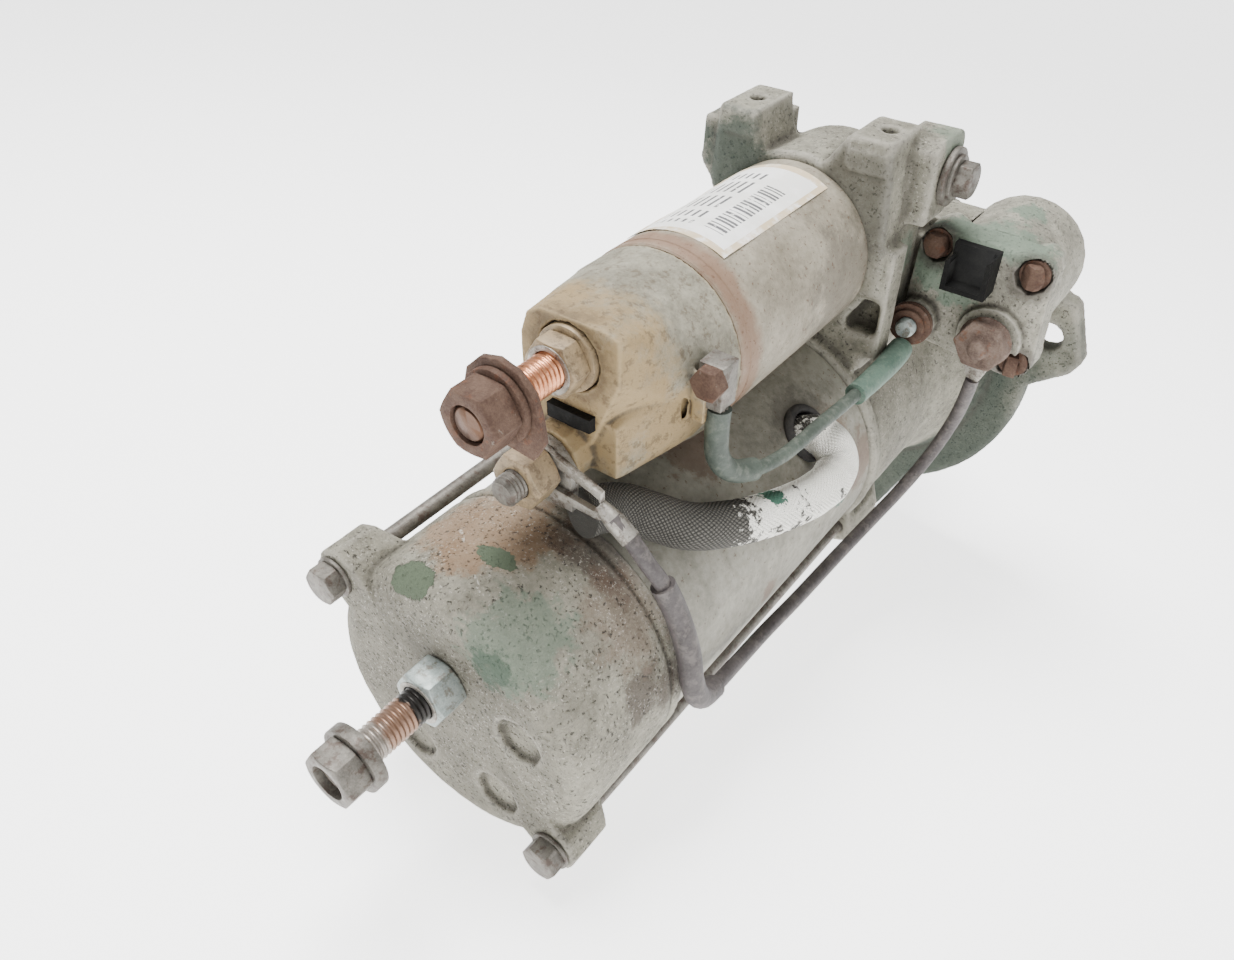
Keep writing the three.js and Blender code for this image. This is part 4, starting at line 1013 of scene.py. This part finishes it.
def relay():
    cup = lathe("round_cup", [
        (247.3, 21.5), (247.3, RELAY_R), (286, RELAY_R), (290, 24), (293.5, 21.5), (295.4, 17.5),
        (295.9, 12), (292, 12), (292, 21.5),
    ], RELAY, MAIN_ROUND)
    body = joined("relay_housing", cad_copy("relay_body"), cup)
    stands_for(cast_skin(body, 0.75, 4, 0.2), "relay_body", "relay")
    stands_for(cast_skin(cad_copy("relay_cover"), 0.5, 4, 0.2), "relay_cover", "relay")
    for index, centre in enumerate(RELAY_BOLTS, 1):
        hexagon = nut(f"relay_hexagon_{index}", 9, 232, 236.3, centre, turn=0.4 * index)
        flange = washer(f"relay_flange_{index}", 5.9, 2.5, 236.2, 237.7, centre)
        shank = cylinder(f"relay_shank_{index}", 3, 237.6, 254.5, centre, 32)
        bolt = joined(f"relay_cover_bolt_{index}", hexagon, flange, shank)
        stands_for(bolt, f"relay_bolt_{index}", "rust")
    tip = lathe("main_post_tip", [(217, 0), (217, 2.5), (218, 4), (241, 4), (241, 0)], RELAY_POST)
    hexagon = nut("main_post_hexagon", 19, 221, 227, RELAY_POST)
    plate = washer("main_post_washer", 10.8, 3.5, 226.9, 227.8, RELAY_POST)
    terminal = cast_skin(joined("relay_main_terminal", hexagon, plate, tip), 0.45, 2, 0.7)
    stands_for(terminal, "relay_main_post", "flaky_rust")
    stands_for(stud("small_post_thread", 4, 218, 241, RELAY_PIN, 1.25, 222.5), "relay_small_post", "zinc")
    for index, (radius, x0, x1) in enumerate(((6.9, 222, 223.6), (9, 223.7, 224.9), (9, 225.2, 226.6)), 1):
        plate = washer(f"small_post_washer_{index}", radius, 4.05, x0, x1, RELAY_PIN)
        extra(plate, "rust")
    stands_for(broken_socket(), "relay_socket", "black")


# ---------------------------------------------------------------- leads

MOTOR_LEAD = [
    (50.5, -17, 62), (56, -18.5, 61), (63, -22.5, 59), (70, -30, 54.5), (78, -38, 49),
    (91, -44, 43.5), (109, -49.5, 37.5), (126, -53, 33), (142, -55, 29.5), (154, -55, 28.8),
    (161.5, -52.5, 32), (163, -46.5, 37), (163, -40, 36.5), (163, -33, 32),
]

SIDE_LEAD = [
    (47.6, -31, 69.8), (48, -37, 65), (50, -42.5, 56), (53, -46.5, 47), (55, -50.5, 36),
    (55, -56, 22), (54.5, -59.5, 7), (58, -60.5, -1.5), (68, -60, -6.5), (84, -59, -10.5),
    (106, -58, -14.5), (133, -58, -18), (164, -58.5, -19.5), (197, -60, -19.5),
    (215, -62.5, -15.5), (229, -67, -4), (234, -71.5, 12), (231.5, -75, 28), (228.8, -77, 43),
]

CONTROL_LEAD = [
    (92.5, -38.4, 88), (91.8, -38.6, 79), (93, -39.4, 68.5), (98, -42, 61.5), (107, -45.5, 58),
    (118, -48, 56.5), (132, -49, 55.5), (146, -49, 54.5), (160, -49, 53), (177, -49, 51.5),
    (193, -49, 50.5), (207, -48.6, 49.8), (216, -48.3, 50.2), (220.5, -48, 50.6),
]


def route_length(route):
    return sum(math.dist(a, b) for a, b in zip(route, route[1:]))


def end_plate(name, node, low, high):
    """The flat eye at the end of a lead, taken from the lead's own solid."""
    plate = soften(cut(cad_copy(node), block("keep", low, high), "INTERSECT"), 0.25)
    plate.name = name
    plate.data.name = name
    extra(plate, "bare_steel")


def strands():
    """Bare wire ends at the top of the control lead."""
    x, y, z = CONTROL_LEAD[0]
    spacing, around = 1.9, 6
    turns = [math.tau * i / around for i in range(around)]
    ring = [(0, 0)] + [(spacing * math.cos(turn), spacing * math.sin(turn)) for turn in turns]
    wires = []
    for index, (a, b) in enumerate(ring):
        top = z + 0.6 + 0.25 * (index % 3)
        wires.append(lead(f"strand_{index}", [(x + a, y + b, z - 1), (x + a, y + b, top)], 0.85, 3))
    extra(joined("control_cable_strands", *wires), "bare_steel")


def leads():
    end_plate("side_cable_eye", "side_lead", (45, -27, 60), (50, 12, 90))
    end_plate("side_cable_tongue", "side_lead", (227.5, -90, 40), (230, -64, 75))
    end_plate("motor_cable_lug", "motor_lead", (48.8, -14, 62), (53, 12, 90))
    end_plate("control_cable_eye", "control_lead", (226.5, -58, 52), (229, -38, 70))
    crimp_route = [(47.8, -26, 72.4), (47.9, -31.5, 68.8), (48, -37.5, 64.6)]
    extra(lead("side_cable_crimp", crimp_route, [2.2, 3.3, 3.3]), "bare_steel")
    strands()
    FINISHES["braid"] = braid("braided_sleeve", route_length(MOTOR_LEAD), 2 * math.pi * 8)
    stands_for(lead("motor_cable", MOTOR_LEAD, 8, 10), "motor_lead", "braid")
    stands_for(lead("side_cable", SIDE_LEAD, 2.8), "side_lead", "side_sleeve")
    extra(lead("side_cable_sleeve", SIDE_LEAD[3:9], 4.2), "side_sleeve")
    stands_for(lead("control_cable", CONTROL_LEAD, 2.5), "control_lead", "green_sleeve")
    extra(lead("control_cable_sleeve", CONTROL_LEAD[:5], 4.0), "green_sleeve")
    boot = [4.3, 4.5, 4.8, 5.0, 4.8]
    extra(lead("control_cable_boot", CONTROL_LEAD[9:], boot), "boot")


def inner_pieces():
    """Everything that keeps its CAD shape."""
    for node, thing in frame["nodes"].items():
        if SLOTS[node] in INNER_FINISH:
            dress(thing, INNER_FINISH[SLOTS[node]])
    dress(frame["nodes"]["lever_pin"], "grey_steel")


# ---------------------------------------------------------------- room


def floor():
    """The part lies on its lower flange ear and the rim of its rear bracket, so the floor leans."""
    foot = Vector((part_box("front_bracket")[0].x + LOWER_EAR * MM, 0, 0))
    heel = at(5, 0, -BRACKET_R)
    slope = math.atan2(heel.z - foot.z, foot.x - heel.x)
    deselect()
    bpy.ops.mesh.primitive_plane_add(size=60, location=(foot + heel) / 2, rotation=(0, slope, 0))
    plane = bpy.context.object
    plane.name = "floor"
    white = bpy.data.materials.new("white_board")
    white.use_nodes = True
    shader = white.node_tree.nodes["Principled BSDF"]
    shader.inputs["Base Color"].default_value = (0.93, 0.93, 0.925, 1)
    shader.inputs["Roughness"].default_value = 0.6
    shader.inputs["Emission Color"].default_value = (1, 1, 1, 1)
    shader.inputs["Emission Strength"].default_value = 2.4
    plane.data.materials.append(white)


def area_light(name, place, size, power, aim):
    lamp = bpy.data.lights.new(name, "AREA")
    lamp.size = size
    lamp.energy = power
    thing = bpy.data.objects.new(name, lamp)
    bpy.context.scene.collection.objects.link(thing)
    thing.location = place
    thing.rotation_euler = (Vector(aim) - Vector(place)).to_track_quat("-Z", "Y").to_euler()


def lights():
    world = bpy.data.worlds.new("studio")
    bpy.context.scene.world = world
    world.use_nodes = True
    world.node_tree.nodes["Background"].inputs["Color"].default_value = (1, 1, 1, 1)
    world.node_tree.nodes["Background"].inputs["Strength"].default_value = 0.6
    middle = (0, 0, 0.12)
    area_light("overhead", (0.1, 0.25, 1.2), 0.6, 30, middle)
    area_light("side_fill", (-0.6, -1.0, 0.6), 0.8, 5, middle)


def camera():
    lens = bpy.data.cameras.new("camera")
    lens.sensor_width = 36
    lens.lens = 29.17
    lens.clip_start = 0.01
    thing = bpy.data.objects.new("camera", lens)
    bpy.context.scene.collection.objects.link(thing)
    forward = Vector((0.6192, 0.4601, -0.6363)).normalized()
    right = Vector((0.6025, -0.7981, 0.0092))
    right = (right - forward * right.dot(forward)).normalized()
    up = right.cross(forward)
    turn = Matrix((right, up, -forward)).transposed().to_4x4()
    thing.matrix_world = Matrix.Translation(at(-130.3, -164.6, 268.2)) @ turn
    bpy.context.scene.camera = thing


camera()
inner_pieces()
rear_bracket()
yoke()
grommet()
brush_springs()
through_bolts()
ground_terminal()
front_bracket()
clamp_bolt()
solenoid_can()
solenoid_cap()
return_spring()
label()
solenoid_terminals()
relay()
leads()
floor()
lights()
